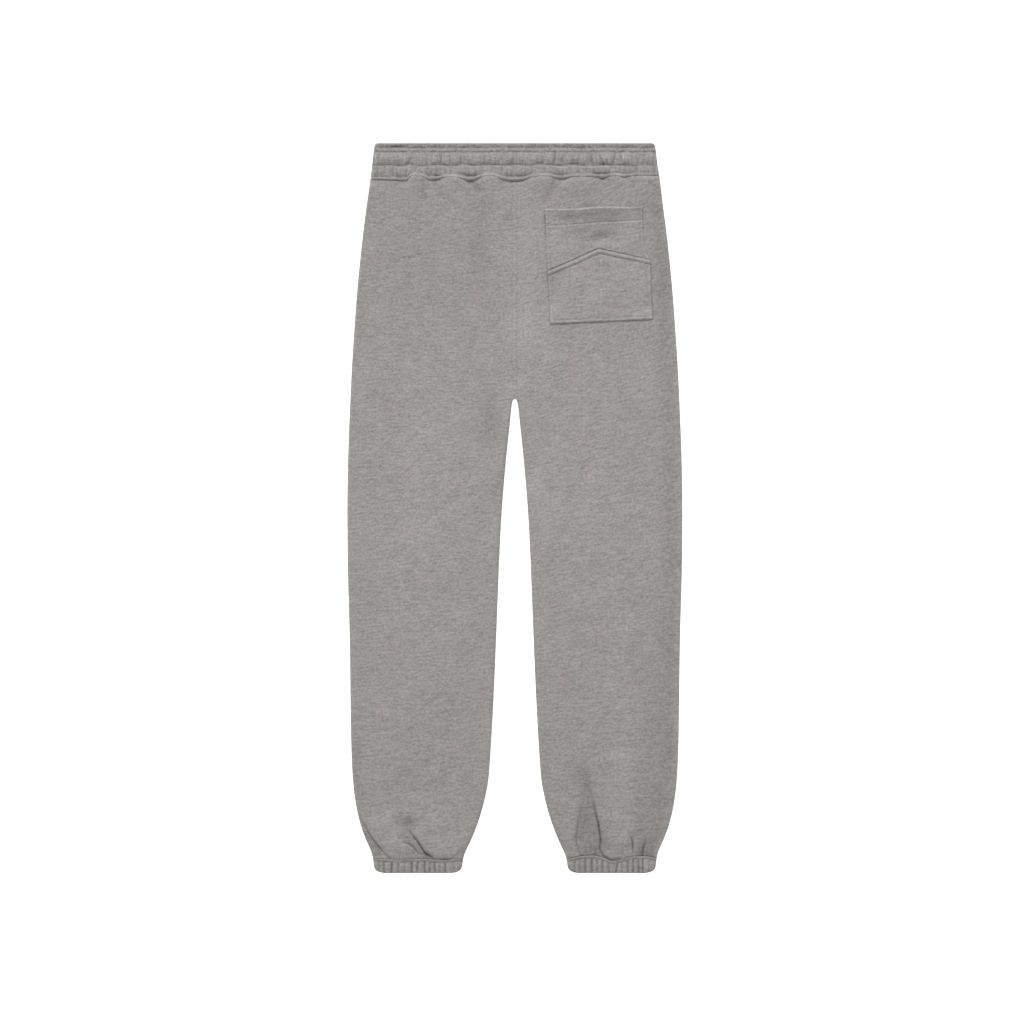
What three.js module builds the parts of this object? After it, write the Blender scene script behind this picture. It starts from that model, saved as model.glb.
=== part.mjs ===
// Grey fleece jogger sweatpants that lie flat on their front, with the seat and its patch pocket up.
// Millimetres, +Z up, +Y towards the waistband. The origin is under the garment's middle, on the
// surface that it lies on. "down" runs from the waistband's top edge to the bottom of the hems, "x"
// runs from the centre line, and "leg" is -1 for the leg at -X and 1 for the leg at +X.

import * as THREE from "three";

// Driving sizes.
const LENGTH = 1022; // the waistband's top edge to the bottom of the hems
const CLOTH = 2; // brushed fleece
const CASING = 3.6; // fleece folded round an elastic
const SEAM_GAP = 0.3; // between pieces that are sewn together
const ROLL = 5.5; // how far in from a folded edge the cloth becomes level
const CROTCH = 358; // down to the fork of the legs
const FORK_BLEND = 12; // how far below the fork the inseam becomes a folded edge
const DEEPEST_CREASE = 3; // the back's cloth then nearly touches the front's
const CROWN = 0.6; // how much higher the middle of a leg lies than its sides
const WAIST_HEIGHT = 8.8; // front and back of the waistband together, between its puffs
const HEM_HEIGHT = 8.6; // front and back of a hem together
const RIM = 1.6; // how far a casing's edge is rounded
const LEG_COLUMNS = 19; // strips of the mesh across the back of a leg

// Half the flat width, the same on both legs.
const OUTER_EDGE = [
  { down: 0, x: 193.6 },
  { down: 3, x: 196.4 },
  { down: 31, x: 200 },
  { down: 52, x: 203 },
  { down: 94, x: 208.6 },
  { down: 136, x: 213.9 },
  { down: 220, x: 222 },
  { down: 346, x: 230 },
  { down: 472, x: 234.4 },
  { down: 514, x: 234.8 },
  { down: 577, x: 234.4 },
  { down: 703, x: 231.3 },
  { down: 829, x: 229.6 },
  { down: 871, x: 228.2 },
  { down: 892, x: 226.9 },
  { down: 913, x: 224.7 },
  { down: 934, x: 221.2 },
  { down: 955, x: 216 },
  { down: 976, x: 208.3 },
  { down: 997, x: 200 },
  { down: 1004, x: 198.6 },
  { down: 1013, x: 197.4 },
  { down: 1018, x: 194.8 },
  { down: 1020.5, x: 190.5 },
  { down: LENGTH, x: 184 },
];

// The inseam's folded edge, the same on both legs.
const INNER_EDGE = [
  { down: CROTCH, x: 0.4 },
  { down: CROTCH + 1.5, x: 2.6 },
  { down: 367, x: 4.4 },
  { down: 388, x: 6.5 },
  { down: 430, x: 11 },
  { down: 472, x: 14.8 },
  { down: 514, x: 18.2 },
  { down: 577, x: 21.5 },
  { down: 640, x: 24 },
  { down: 703, x: 26.5 },
  { down: 766, x: 29.2 },
  { down: 829, x: 32.5 },
  { down: 871, x: 35.2 },
  { down: 892, x: 37 },
  { down: 913, x: 40.9 },
  { down: 934, x: 46.1 },
  { down: 955, x: 52.8 },
  { down: 976, x: 61.1 },
  { down: 997, x: 70.5 },
  { down: 1004, x: 72.4 },
  { down: 1013, x: 73.8 },
  { down: 1018, x: 76.4 },
  { down: 1020.5, x: 80.5 },
  { down: LENGTH, x: 87 },
];

// Front and back of the legs together.
const LOFT = [
  { down: 45, height: 7.3 },
  { down: 110, height: 6.8 },
  { down: 640, height: 7 },
  { down: 1003, height: 7.3 },
];

// The seam under the waistband. The seat's cloth is eased into it, so it rises over each puff.
const WAIST_SEAM_MEAN = 49;
const WAIST_PUFF_REACH = 30;
const WAIST_SEAM = [
  { x: -203, down: 51.4, puff: 0 },
  { x: -175, down: 52.2, puff: 0.4 },
  { x: -152, down: 53.2, puff: 0.2 },
  { x: -137, down: 45.3, puff: 3 },
  { x: -122, down: 52.3, puff: 0 },
  { x: -88, down: 47.2, puff: 2.6 },
  { x: -64, down: 53.1, puff: 0 },
  { x: -35, down: 45.2, puff: 3 },
  { x: -2, down: 53.6, puff: 0 },
  { x: 38, down: 45.5, puff: 2.4 },
  { x: 68, down: 50.3, puff: 0 },
  { x: 88, down: 46.2, puff: 2 },
  { x: 123, down: 49, puff: 0.2 },
  { x: 141, down: 45.2, puff: 2.4 },
  { x: 152, down: 48, puff: 0.5 },
  { x: 176, down: 45.3, puff: 1.4 },
  { x: 203, down: 44.1, puff: 0 },
];

// The seam above the hems.
const HEM_SEAM_MEAN = 1002.5;
const HEM_SEAM = [
  { x: -198, down: 1001.5, isEnd: true },
  { x: -160, down: 1003, isEnd: false },
  { x: -125, down: 1002, isEnd: false },
  { x: -105, down: 1004, isEnd: false },
  { x: -73, down: 1001.5, isEnd: true },
  { x: 73, down: 1002.5, isEnd: true },
  { x: 105, down: 998.5, isEnd: false },
  { x: 137, down: 1005.5, isEnd: false },
  { x: 168, down: 999, isEnd: false },
  { x: 198, down: 1001, isEnd: true },
];

// Puffs and creases of the cloth that the hems gather, each along a line from one end to the other.
const HEM_FOLDS = [
  { x: -214, down: 950, toX: -176, toDown: 1000, width: 5, rise: -2.4 },
  { x: -170, down: 962, toX: -162, toDown: 990, width: 13, rise: 2.6 },
  { x: -151, down: 947, toX: -153, toDown: 951, width: 9, rise: -1.3 },
  { x: -153, down: 980, toX: -138, toDown: 990, width: 4, rise: -1.8 },
  { x: -143, down: 976, toX: -133, toDown: 992, width: 5, rise: 1.6 },
  { x: -146, down: 964, toX: -126, toDown: 994, width: 4.5, rise: -3 },
  { x: -126, down: 994, toX: -112, toDown: 1002, width: 5, rise: -2.4 },
  { x: -106, down: 962, toX: -98, toDown: 988, width: 15, rise: 3 },
  { x: -86, down: 1000, toX: -73, toDown: 986, width: 4, rise: -1.8 },
  { x: 82, down: 960, toX: 82, toDown: 985, width: 8, rise: 1.6 },
  { x: 95, down: 931, toX: 88, toDown: 985, width: 6, rise: -1.4 },
  { x: 102, down: 905, toX: 104, toDown: 955, width: 11, rise: -1.6 },
  { x: 110, down: 925, toX: 118, toDown: 958, width: 5, rise: -1.6 },
  { x: 118, down: 958, toX: 125, toDown: 997, width: 4.5, rise: -3 },
  { x: 104, down: 968, toX: 104, toDown: 988, width: 6, rise: 1.2 },
  { x: 150, down: 880, toX: 138, toDown: 945, width: 15, rise: 1.6 },
  { x: 140, down: 950, toX: 143, toDown: 990, width: 13, rise: 3.2 },
  { x: 161, down: 968, toX: 165, toDown: 996, width: 4.5, rise: -2.6 },
  { x: 173, down: 978, toX: 172, toDown: 992, width: 6, rise: 1.6 },
  { x: 183, down: 982, toX: 179, toDown: 997, width: 4, rise: -2.4 },
];

// Rows of stitching along the waistband, and how far the cloth puffs between them.
const WAIST_STITCH_GAP = 4.2; // from the lowest row to the seam
const WAIST_ROWS = [
  { down: 0, puff: 0.5, gather: 0.2 },
  { down: 5.6, puff: 0.6, gather: 0.3 },
  { down: 12.3, puff: 1.5, gather: 1 },
  { down: 30, puff: 1.3, gather: 0.8 },
  { down: WAIST_SEAM_MEAN - WAIST_STITCH_GAP, puff: 0.7, gather: 0 },
  { down: WAIST_SEAM_MEAN, puff: 0, gather: 0 },
];
const WAIST_GATHERS = 28;
const GATHER_UNEVENNESS = 0.3; // of the mean distance between two gathers

// Creases that run down each hem over its elastic.
const HEM_STITCH_GAP = 4; // from the seam to the row of stitching on the hem
const HEM_CREASE_WIDTH = 1.9;
const HEM_CREASES = [
  { x: -183, depth: 1.1 },
  { x: -172, depth: 1.4 },
  { x: -163, depth: 1 },
  { x: -154, depth: 0.8 },
  { x: -144, depth: 1.4 },
  { x: -136, depth: 1.2 },
  { x: -126, depth: 1.4 },
  { x: -119, depth: 1 },
  { x: -112, depth: 1.3 },
  { x: -97, depth: 1.2 },
  { x: -85, depth: 0.7 },
  { x: 84, depth: 0.9 },
  { x: 99, depth: 1.1 },
  { x: 108, depth: 1.4 },
  { x: 123, depth: 1.1 },
  { x: 131, depth: 1 },
  { x: 143, depth: 1.4 },
  { x: 158, depth: 1.1 },
  { x: 166, depth: 1.2 },
  { x: 173, depth: 1 },
  { x: 179, depth: 1.3 },
  { x: 188, depth: 0.7 },
];

// The patch pocket on the seat, on the back of the leg at +X. "along" runs from its top edge to
// its lower edge and "across" between its sides. Its two panels meet at a pointed seam.
const POCKET_CLOTH = 1.8;
const POCKET_CLEARANCE = 0.45; // over the curved seat panel, so that the two meshes stay apart
const POCKET_SIDES = [
  { along: 0, left: 41.6, right: 179.5 },
  { along: 0.17, left: 43.2, right: 179.8 },
  { along: 0.36, left: 44.6, right: 181.8 },
  { along: 0.44, left: 45.1, right: 186 },
  { along: 0.5, left: 45.6, right: 190.4 },
  { along: 0.75, left: 47.4, right: 191.4 },
  { along: 1, left: 49.3, right: 193.5 },
];
const POCKET_TOP = { left: 92.4, right: 88.6 };
const POCKET_BOTTOM = { left: 254.1, right: 247.5 };
const POCKET_POINT = [
  { across: 0, along: 0.537 },
  { across: 0.53, along: 0.358 },
  { across: 1, along: 0.469 },
];
const POCKET_HEM = { depth: 23, rise: 0.7 };
const POCKET_WELT = { depth: 8, rise: 0.9 };
const POCKET_EDGE = { depth: 3, drop: 0.9 };

const COLOURS = { body: 0x999692, casing: 0x95928f };

const { clamp, lerp, smoothstep } = THREE.MathUtils;
const QUARTER_TURN = Math.PI / 2;

// A smooth curve through a table's rows, from one named column to another, with no overshoot.
function curve(rows, from, to) {
  const steepness = (i) => (rows[i + 1][to] - rows[i][to]) / (rows[i + 1][from] - rows[i][from]);
  const slopes = rows.map((row, i) => {
    if (i === 0) return steepness(0);
    if (i === rows.length - 1) return steepness(i - 1);
    const [before, after] = [steepness(i - 1), steepness(i)];
    return before * after <= 0 ? 0 : (2 * before * after) / (before + after);
  });
  return (at) => {
    let i = 0;
    while (i < rows.length - 2 && at > rows[i + 1][from]) i += 1;
    const span = rows[i + 1][from] - rows[i][from];
    const t = clamp((at - rows[i][from]) / span, 0, 1);
    const bend = t * t * (3 - 2 * t);
    const leave = span * slopes[i] * t * (1 - t) * (1 - t);
    const arrive = span * slopes[i + 1] * t * t * (t - 1);
    return lerp(rows[i][to], rows[i + 1][to], bend) + leave + arrive;
  };
}

// Straight lines through a table's rows, from one named column to another.
function polyline(rows, from, to) {
  return (at) => {
    let i = 0;
    while (i < rows.length - 2 && at > rows[i + 1][from]) i += 1;
    const share = (at - rows[i][from]) / (rows[i + 1][from] - rows[i][from]);
    return lerp(rows[i][to], rows[i + 1][to], share);
  };
}

// Stations from one value to another in equal steps, both ends included.
function steps(from, to, count) {
  return Array.from({ length: count + 1 }, (_, i) => lerp(from, to, i / count));
}

const outerEdge = curve(OUTER_EDGE, "down", "x");
const forkEdge = curve(INNER_EDGE, "down", "x");
const loft = curve(LOFT, "down", "height");
const waistPuff = curve(WAIST_SEAM, "x", "puff");
const innerEdge = (down) => (down <= CROTCH ? SEAM_GAP / 2 : forkEdge(down));

// Where the mesh's columns stand across both legs at one height.
function legColumns(down) {
  const columns = steps(outerEdge(down) - ROLL, innerEdge(down) + ROLL, LEG_COLUMNS);
  return [...columns.map((x) => -x), ...columns.reverse()];
}

// A seam that runs straight between the columns of the cloth that it joins.
function seamOver(rows, columns) {
  const smooth = curve(rows, "x", "down");
  return polyline(columns.map((x) => ({ x, down: smooth(x) })), "x", "down");
}

// The seams on top, and the plain ones underneath, which have the same ends.
const waistColumns = legColumns(WAIST_SEAM_MEAN);
const hemColumns = legColumns(HEM_SEAM_MEAN);
const waistSeam = {
  back: seamOver(WAIST_SEAM, waistColumns),
  front: polyline([WAIST_SEAM[0], WAIST_SEAM.at(-1)], "x", "down"),
};
const hemSeam = {
  back: seamOver(HEM_SEAM, hemColumns),
  front: polyline(HEM_SEAM.filter(({ isEnd }) => isEnd), "x", "down"),
};

// One point of a layer's cross-section. "across" is 0 at the outer fold, level from 1 to 2, and 3
// at the inner edge, which is folded below the fork and a flat seam above it. "inset" is how far
// the point lies inside the cloth's outside.
function section(across, edges, height, inset) {
  const middle = height / 2;
  const level = height - inset;
  if (across >= 1 && across <= 2) {
    return { x: lerp(edges.outer - ROLL, edges.inner + ROLL, across - 1), z: level, flat: 1 };
  }
  const isOuter = across < 1;
  const angle = (isOuter ? across : 3 - across) * QUARTER_TURN;
  const reach = (ROLL - inset) * Math.cos(angle);
  const seamLift = (SEAM_GAP / 2) * (1 - Math.sin(angle));
  const z = middle + (middle - inset) * Math.sin(angle) + seamLift;
  const flat = Math.sin(angle) ** 2;
  if (isOuter) return { x: edges.outer - ROLL + reach, z, flat };
  const flatX = lerp(edges.inner + ROLL, edges.inner, across - 2);
  return {
    x: lerp(flatX, edges.inner + ROLL - reach, edges.folded),
    z: lerp(level, z, edges.folded),
    flat: lerp(1, flat, edges.folded),
  };
}

// How far the cloth near the hems is lifted or pressed by its folds.
function hemFolds(x, down) {
  const total = HEM_FOLDS.reduce((sum, fold) => {
    const run = { x: fold.toX - fold.x, down: fold.toDown - fold.down };
    const square = run.x ** 2 + run.down ** 2;
    const t = clamp(((x - fold.x) * run.x + (down - fold.down) * run.down) / square, 0, 1);
    const away = Math.hypot(x - fold.x - t * run.x, down - fold.down - t * run.down);
    return sum + fold.rise * Math.exp(-((away / fold.width) ** 2));
  }, 0);
  return Math.max(total, -DEEPEST_CREASE);
}

// How far the back of a leg rises over its loft.
function seatRelief(x, down) {
  const edges = { outer: outerEdge(down), inner: innerEdge(down) };
  const across = (2 * (Math.abs(x) - edges.inner)) / (edges.outer - edges.inner) - 1;
  const crown = CROWN * (1 - across ** 2);
  const below = (down - waistSeam.back(x)) / WAIST_PUFF_REACH;
  return crown + waistPuff(x) * Math.exp(-(below ** 2)) + hemFolds(x, down);
}

// How far a row of a leg is moved along it, so that its ends follow the seams.
function seamShift(layer, x, down) {
  const top = waistSeam[layer](x) + SEAM_GAP / 2 - WAIST_SEAM_MEAN;
  const bottom = hemSeam[layer](x) - SEAM_GAP / 2 - HEM_SEAM_MEAN;
  const nearTop = 1 - smoothstep(down, WAIST_SEAM_MEAN, WAIST_SEAM_MEAN + 45);
  const nearBottom = smoothstep(down, HEM_SEAM_MEAN - 40, HEM_SEAM_MEAN);
  return top * nearTop + bottom * nearBottom;
}

// Points of one layer of a leg: "back" is the layer on top and "front" the one that it lies on.
function legPoint(leg, layer, inset) {
  return (across, row) => {
    const folded = smoothstep(row, CROTCH, CROTCH + FORK_BLEND);
    const edges = { outer: outerEdge(row), inner: innerEdge(row), folded };
    const height = loft(row);
    const place = section(across, edges, height, inset);
    const x = leg * place.x;
    const down = row + seamShift(layer, x, row);
    const isBack = layer === "back";
    const z = isBack ? place.z + place.flat * seatRelief(x, down) : height - place.z;
    return new THREE.Vector3(x, LENGTH / 2 - down, z);
  };
}

// Where the gathers' creases lie on the waistband, from -X to +X.
const waistHalf = outerEdge(WAIST_SEAM_MEAN) - ROLL;
const waistCreases = Array.from({ length: WAIST_GATHERS + 1 }, (_, i) => {
  const unevenness = i % WAIST_GATHERS ? GATHER_UNEVENNESS * Math.sin(2.4 * i + 0.6) : 0;
  return lerp(-waistHalf, waistHalf, (i + unevenness) / WAIST_GATHERS);
});

// 0 in a crease and 1 at the top of the puff beside it.
function gathering(x) {
  const next = waistCreases.findIndex((crease) => crease > x);
  if (next < 1) return 0;
  const share = (x - waistCreases[next - 1]) / (waistCreases[next] - waistCreases[next - 1]);
  return Math.sin(Math.PI * share);
}

// How far the waistband rises between its rows of stitching.
function waistRelief(x, row) {
  let i = 0;
  while (i < WAIST_ROWS.length - 2 && row > WAIST_ROWS[i + 1].down) i += 1;
  const share = (row - WAIST_ROWS[i].down) / (WAIST_ROWS[i + 1].down - WAIST_ROWS[i].down);
  const swell = Math.sin(Math.PI * clamp(share, 0, 1));
  return swell * (WAIST_ROWS[i].puff + WAIST_ROWS[i].gather * (gathering(x) - 0.5));
}

// How much a casing's wall is thinned towards its rounded rim.
function rimDrop(distance) {
  const left = clamp(1 - distance / RIM, 0, 1);
  return 0.42 * CASING * (1 - Math.sqrt(1 - left ** 2));
}

// Points of one layer of the waistband, whose creases are given as stations across it.
function waistPoint(layer, inner) {
  return (across, row) => {
    const half = outerEdge(row);
    const edges = { outer: half, inner: -half, folded: 1 };
    const place = section(across, edges, WAIST_HEIGHT, inner ? CASING : 0);
    const lower = smoothstep(row, WAIST_ROWS[3].down, WAIST_SEAM_MEAN);
    const down = row + lower * (waistSeam[layer](place.x) - SEAM_GAP / 2 - WAIST_SEAM_MEAN);
    const rim = (inner ? 1 : -1) * rimDrop(row);
    const isRaised = layer === "back" && !inner;
    const relief = isRaised ? place.flat * waistRelief(place.x, row) : 0;
    const top = place.z + place.flat * rim + relief;
    return new THREE.Vector3(place.x, LENGTH / 2 - down, layer === "back" ? top : WAIST_HEIGHT - top);
  };
}

// How far a hem sinks in the creases over its elastic.
function hemCreases(x) {
  return HEM_CREASES.reduce((sum, crease) => {
    return sum - crease.depth * Math.exp(-(((x - crease.x) / HEM_CREASE_WIDTH) ** 2));
  }, 0);
}

// Points of one layer of a hem.
function hemPoint(leg, layer, inner) {
  return (across, row) => {
    const edges = { outer: outerEdge(row), inner: innerEdge(row), folded: 1 };
    const place = section(across, edges, HEM_HEIGHT, inner ? CASING : 0);
    const x = leg * place.x;
    const upper = 1 - smoothstep(row, HEM_SEAM_MEAN, HEM_SEAM_MEAN + HEM_STITCH_GAP + 6);
    const down = row + upper * (hemSeam[layer](x) + SEAM_GAP / 2 - HEM_SEAM_MEAN);
    const rim = (inner ? 1 : -1) * rimDrop(LENGTH - row);
    const isRaised = layer === "back" && !inner;
    const gathered = smoothstep(row, HEM_SEAM_MEAN + HEM_STITCH_GAP, HEM_SEAM_MEAN + 7);
    const relief = isRaised ? place.flat * gathered * hemCreases(x) : 0;
    const top = place.z + place.flat * rim + relief;
    return new THREE.Vector3(x, LENGTH / 2 - down, layer === "back" ? top : HEM_HEIGHT - top);
  };
}

// A strip of triangles between two lines of points whose stations run together.
function ribbon(a, b) {
  const triangles = [];
  let i = 0;
  let j = 0;
  while (i < a.ids.length - 1 || j < b.ids.length - 1) {
    const isLastB = j === b.ids.length - 1;
    const isLastA = i === a.ids.length - 1;
    if (isLastB || (!isLastA && a.stations[i + 1] <= b.stations[j + 1])) {
      triangles.push([a.ids[i], a.ids[i + 1], b.ids[j]]);
      i += 1;
    } else {
      triangles.push([a.ids[i], b.ids[j + 1], b.ids[j]]);
      j += 1;
    }
  }
  return triangles;
}

// The numbered points of one face of a wall, the triangles between them, and its four sides.
function face({ across, along, point }, points) {
  const ids = along.map((v) => across.map((u) => points.push(point(u, v)) - 1));
  const triangles = [];
  for (let r = 0; r < along.length - 1; r += 1) {
    for (let c = 0; c < across.length - 1; c += 1) {
      const [a, b, d, e] = [ids[r][c], ids[r][c + 1], ids[r + 1][c], ids[r + 1][c + 1]];
      triangles.push([a, d, e], [a, e, b]);
    }
  }
  const last = across.length - 1;
  const sides = {
    start: { ids: ids[0], stations: across },
    end: { ids: ids[along.length - 1], stations: across },
    near: { ids: ids.map((row) => row[0]), stations: along },
    far: { ids: ids.map((row) => row[last]), stations: along },
  };
  return { triangles, sides };
}

// A closed wall of cloth between an outside and an inside.
function wall(outside, inside) {
  const points = [];
  const outer = face(outside, points);
  const inner = face(inside, points);
  const flipped = (triangles) => triangles.map(([a, b, c]) => [a, c, b]);
  const triangles = [
    ...outer.triangles,
    ...flipped(inner.triangles),
    ...ribbon(outer.sides.start, inner.sides.start),
    ...flipped(ribbon(outer.sides.end, inner.sides.end)),
    ...flipped(ribbon(outer.sides.near, inner.sides.near)),
    ...ribbon(outer.sides.far, inner.sides.far),
  ];
  const volume = triangles.reduce((sum, [a, b, c]) => {
    return sum + points[a].dot(points[b].clone().cross(points[c]));
  }, 0);
  const facingOut = volume > 0 ? triangles : flipped(triangles);
  const geometry = new THREE.BufferGeometry().setFromPoints(points);
  geometry.setIndex(facingOut.flat());
  geometry.computeVertexNormals();
  return geometry;
}

function piece(name, geometry, color) {
  const material = new THREE.MeshStandardMaterial({ color, roughness: 0.95, metalness: 0 });
  const mesh = new THREE.Mesh(geometry, material);
  mesh.name = name;
  return mesh;
}

// Stations down a leg: close together under the waistband, at the fork and over the hem.
const forkRows = [CROTCH - 18, CROTCH, CROTCH + 1.5, CROTCH + 5, CROTCH + 11];
const backRows = [
  ...[WAIST_SEAM_MEAN, 53, 59, 67, 78, 94, 125, 180, 240, 300],
  ...forkRows,
  ...[395, 440, 510, 590, 670, 750, 820, 865, 890],
  ...[908, 922, 934, 945, 955, 964, 972, 980, 987, 993, 998, HEM_SEAM_MEAN],
];
const frontRows = [
  ...[WAIST_SEAM_MEAN, 59, 78, 125, 210],
  ...forkRows,
  ...[395, 440, 510, 590, 700, 820, 890, 922, 945, 964, 980, 993, HEM_SEAM_MEAN],
];

function roundRolls(level, perRoll) {
  return [...steps(0, 1, perRoll), ...steps(1, 2, level).slice(1, -1), ...steps(2, 3, perRoll)];
}

function legPanel(leg, layer) {
  const isBack = layer === "back";
  const along = isBack ? backRows : frontRows;
  const columns = isBack ? LEG_COLUMNS : 6;
  return wall(
    { across: roundRolls(columns, 4), along, point: legPoint(leg, layer, 0) },
    { across: roundRolls(columns, 2), along, point: legPoint(leg, layer, CLOTH) },
  );
}

// Stations across a section that is level between two places, from its rolled edge to its other one.
function stationsAt(places, from, to, perRoll) {
  const level = places.map((x) => 1 + (x - from) / (to - from));
  return [...steps(0, 1, perRoll), ...level, ...steps(2, 3, perRoll)]
    .sort((a, b) => a - b)
    .filter((u, i, all) => i === 0 || u - all[i - 1] > 1e-6);
}

function waistband(layer) {
  const isBack = layer === "back";
  const middles = waistCreases.slice(1).map((crease, i) => (crease + waistCreases[i]) / 2);
  const outside = [...waistColumns, ...waistCreases, ...middles];
  const insideRows = [0, RIM, WAIST_SEAM_MEAN];
  const rowMiddles = WAIST_ROWS.slice(0, -1).flatMap((row, i) => {
    return [row.down, (row.down + WAIST_ROWS[i + 1].down) / 2];
  });
  const backStations = [...rowMiddles, RIM / 3, RIM, 16.5, 25.7, WAIST_SEAM_MEAN].sort((a, b) => a - b);
  const frontStations = [0, RIM / 3, RIM, WAIST_SEAM_MEAN / 2, WAIST_SEAM_MEAN];
  return wall(
    {
      across: isBack ? stationsAt(outside, waistHalf, -waistHalf, 4) : roundRolls(12, 4),
      along: isBack ? backStations : frontStations,
      point: waistPoint(layer, false),
    },
    {
      across: isBack ? stationsAt(waistColumns, waistHalf, -waistHalf, 2) : roundRolls(12, 2),
      along: insideRows,
      point: waistPoint(layer, true),
    },
  );
}

// Stations across a hem: on the columns of the cloth above it, and with creases on those too.
function hemAcross(leg, creases, perRoll) {
  const columns = hemColumns.filter((x) => x * leg > 0).map(Math.abs);
  const places = creases.filter(({ x }) => x * leg > 0).map(({ x }) => Math.abs(x));
  return stationsAt([...columns, ...places], Math.max(...columns), Math.min(...columns), perRoll);
}

function hem(leg, layer) {
  const isBack = layer === "back";
  const rim = [LENGTH - RIM, LENGTH - RIM / 3, LENGTH];
  const stitch = HEM_SEAM_MEAN + HEM_STITCH_GAP;
  const corner = [1013, 1018];
  return wall(
    {
      across: isBack ? hemAcross(leg, HEM_CREASES, 4) : roundRolls(8, 4),
      along: [HEM_SEAM_MEAN, stitch, stitch + 3, ...corner, ...rim],
      point: hemPoint(leg, layer, false),
    },
    {
      across: isBack ? hemAcross(leg, [], 2) : roundRolls(4, 2),
      along: [HEM_SEAM_MEAN, ...corner, ...rim],
      point: hemPoint(leg, layer, true),
    },
  );
}

const pointedSeam = polyline(POCKET_POINT, "across", "along");

const pocketLeft = curve(POCKET_SIDES, "along", "left");
const pocketRight = curve(POCKET_SIDES, "along", "right");

// A place on the pocket, from shares of its width and height.
function pocketPlace(across, along) {
  const top = lerp(POCKET_TOP.left, POCKET_TOP.right, across);
  const bottom = lerp(POCKET_BOTTOM.left, POCKET_BOTTOM.right, across);
  const x = lerp(pocketLeft(along), pocketRight(along), across);
  return { x, down: lerp(top, bottom, along) };
}

const pocketWidth = POCKET_SIDES[0].right - POCKET_SIDES[0].left;
const pocketHeight = POCKET_BOTTOM.left - POCKET_TOP.left;

// Points of one panel of the pocket. "along" runs from 0 at its top edge to 1 at its lower edge.
function pocketPanelPoint(panel, inner) {
  return (across, along) => {
    const seam = pointedSeam(across);
    const halfGap = SEAM_GAP / 2 / pocketHeight;
    const [from, to] = panel === "yoke" ? [0, seam - halfGap] : [seam + halfGap, 1];
    const share = lerp(from, to, along);
    const { x, down } = pocketPlace(across, share);
    const base = loft(down) + seatRelief(x, down) + POCKET_CLEARANCE;
    const z = inner ? base : base + POCKET_CLOTH + pocketRelief(panel, across, share, seam);
    return new THREE.Vector3(x, LENGTH / 2 - down, z);
  };
}

// How far the pocket's hem and its seam allowance raise it, and how far its sewn edges sink.
function pocketRelief(panel, across, share, seam) {
  const fromSide = Math.min(across, 1 - across) * pocketWidth;
  const fromBottom = (1 - share) * pocketHeight;
  const sunk = 1 - smoothstep(Math.min(fromSide, fromBottom), 0, POCKET_EDGE.depth);
  const isHem = panel === "yoke" && share * pocketHeight < POCKET_HEM.depth;
  const isWelt = panel === "body" && (share - seam) * pocketHeight < POCKET_WELT.depth;
  const raised = (isHem ? POCKET_HEM.rise : 0) + (isWelt ? POCKET_WELT.rise : 0);
  return raised - sunk * POCKET_EDGE.drop;
}

function pocketPanel(panel) {
  const side = POCKET_EDGE.depth / pocketWidth;
  const tip = POCKET_POINT[1].across;
  const across = [0, side, ...steps(side, tip, 5).slice(1), ...steps(tip, 1 - side, 5).slice(1), 1];
  const hemEnd = POCKET_HEM.depth / pocketHeight / POCKET_POINT[1].along;
  const weltEnd = POCKET_WELT.depth / pocketHeight / (1 - POCKET_POINT[1].along);
  const bottom = 1 - POCKET_EDGE.depth / pocketHeight;
  const along = panel === "yoke" ? steps(0, 1, 8) : [0, weltEnd, weltEnd + 0.02, ...steps(0.25, bottom, 4), 1];
  return wall(
    { across, along, point: pocketPanelPoint(panel, false) },
    { across, along, point: pocketPanelPoint(panel, true) },
  );
}

const joggers = new THREE.Group();
joggers.name = "joggers";
joggers.add(piece("waistband_back", waistband("back"), COLOURS.casing));
joggers.add(piece("waistband_front", waistband("front"), COLOURS.casing));
for (const [side, leg] of [["left", -1], ["right", 1]]) {
  joggers.add(piece(`leg_${side}_back`, legPanel(leg, "back"), COLOURS.body));
  joggers.add(piece(`leg_${side}_front`, legPanel(leg, "front"), COLOURS.body));
  joggers.add(piece(`hem_${side}_back`, hem(leg, "back"), COLOURS.casing));
  joggers.add(piece(`hem_${side}_front`, hem(leg, "front"), COLOURS.casing));
}
joggers.add(piece("pocket_yoke", pocketPanel("yoke"), COLOURS.body));
joggers.add(piece("pocket_body", pocketPanel("body"), COLOURS.body));

export default joggers;
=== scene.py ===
import math
from collections import namedtuple

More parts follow.
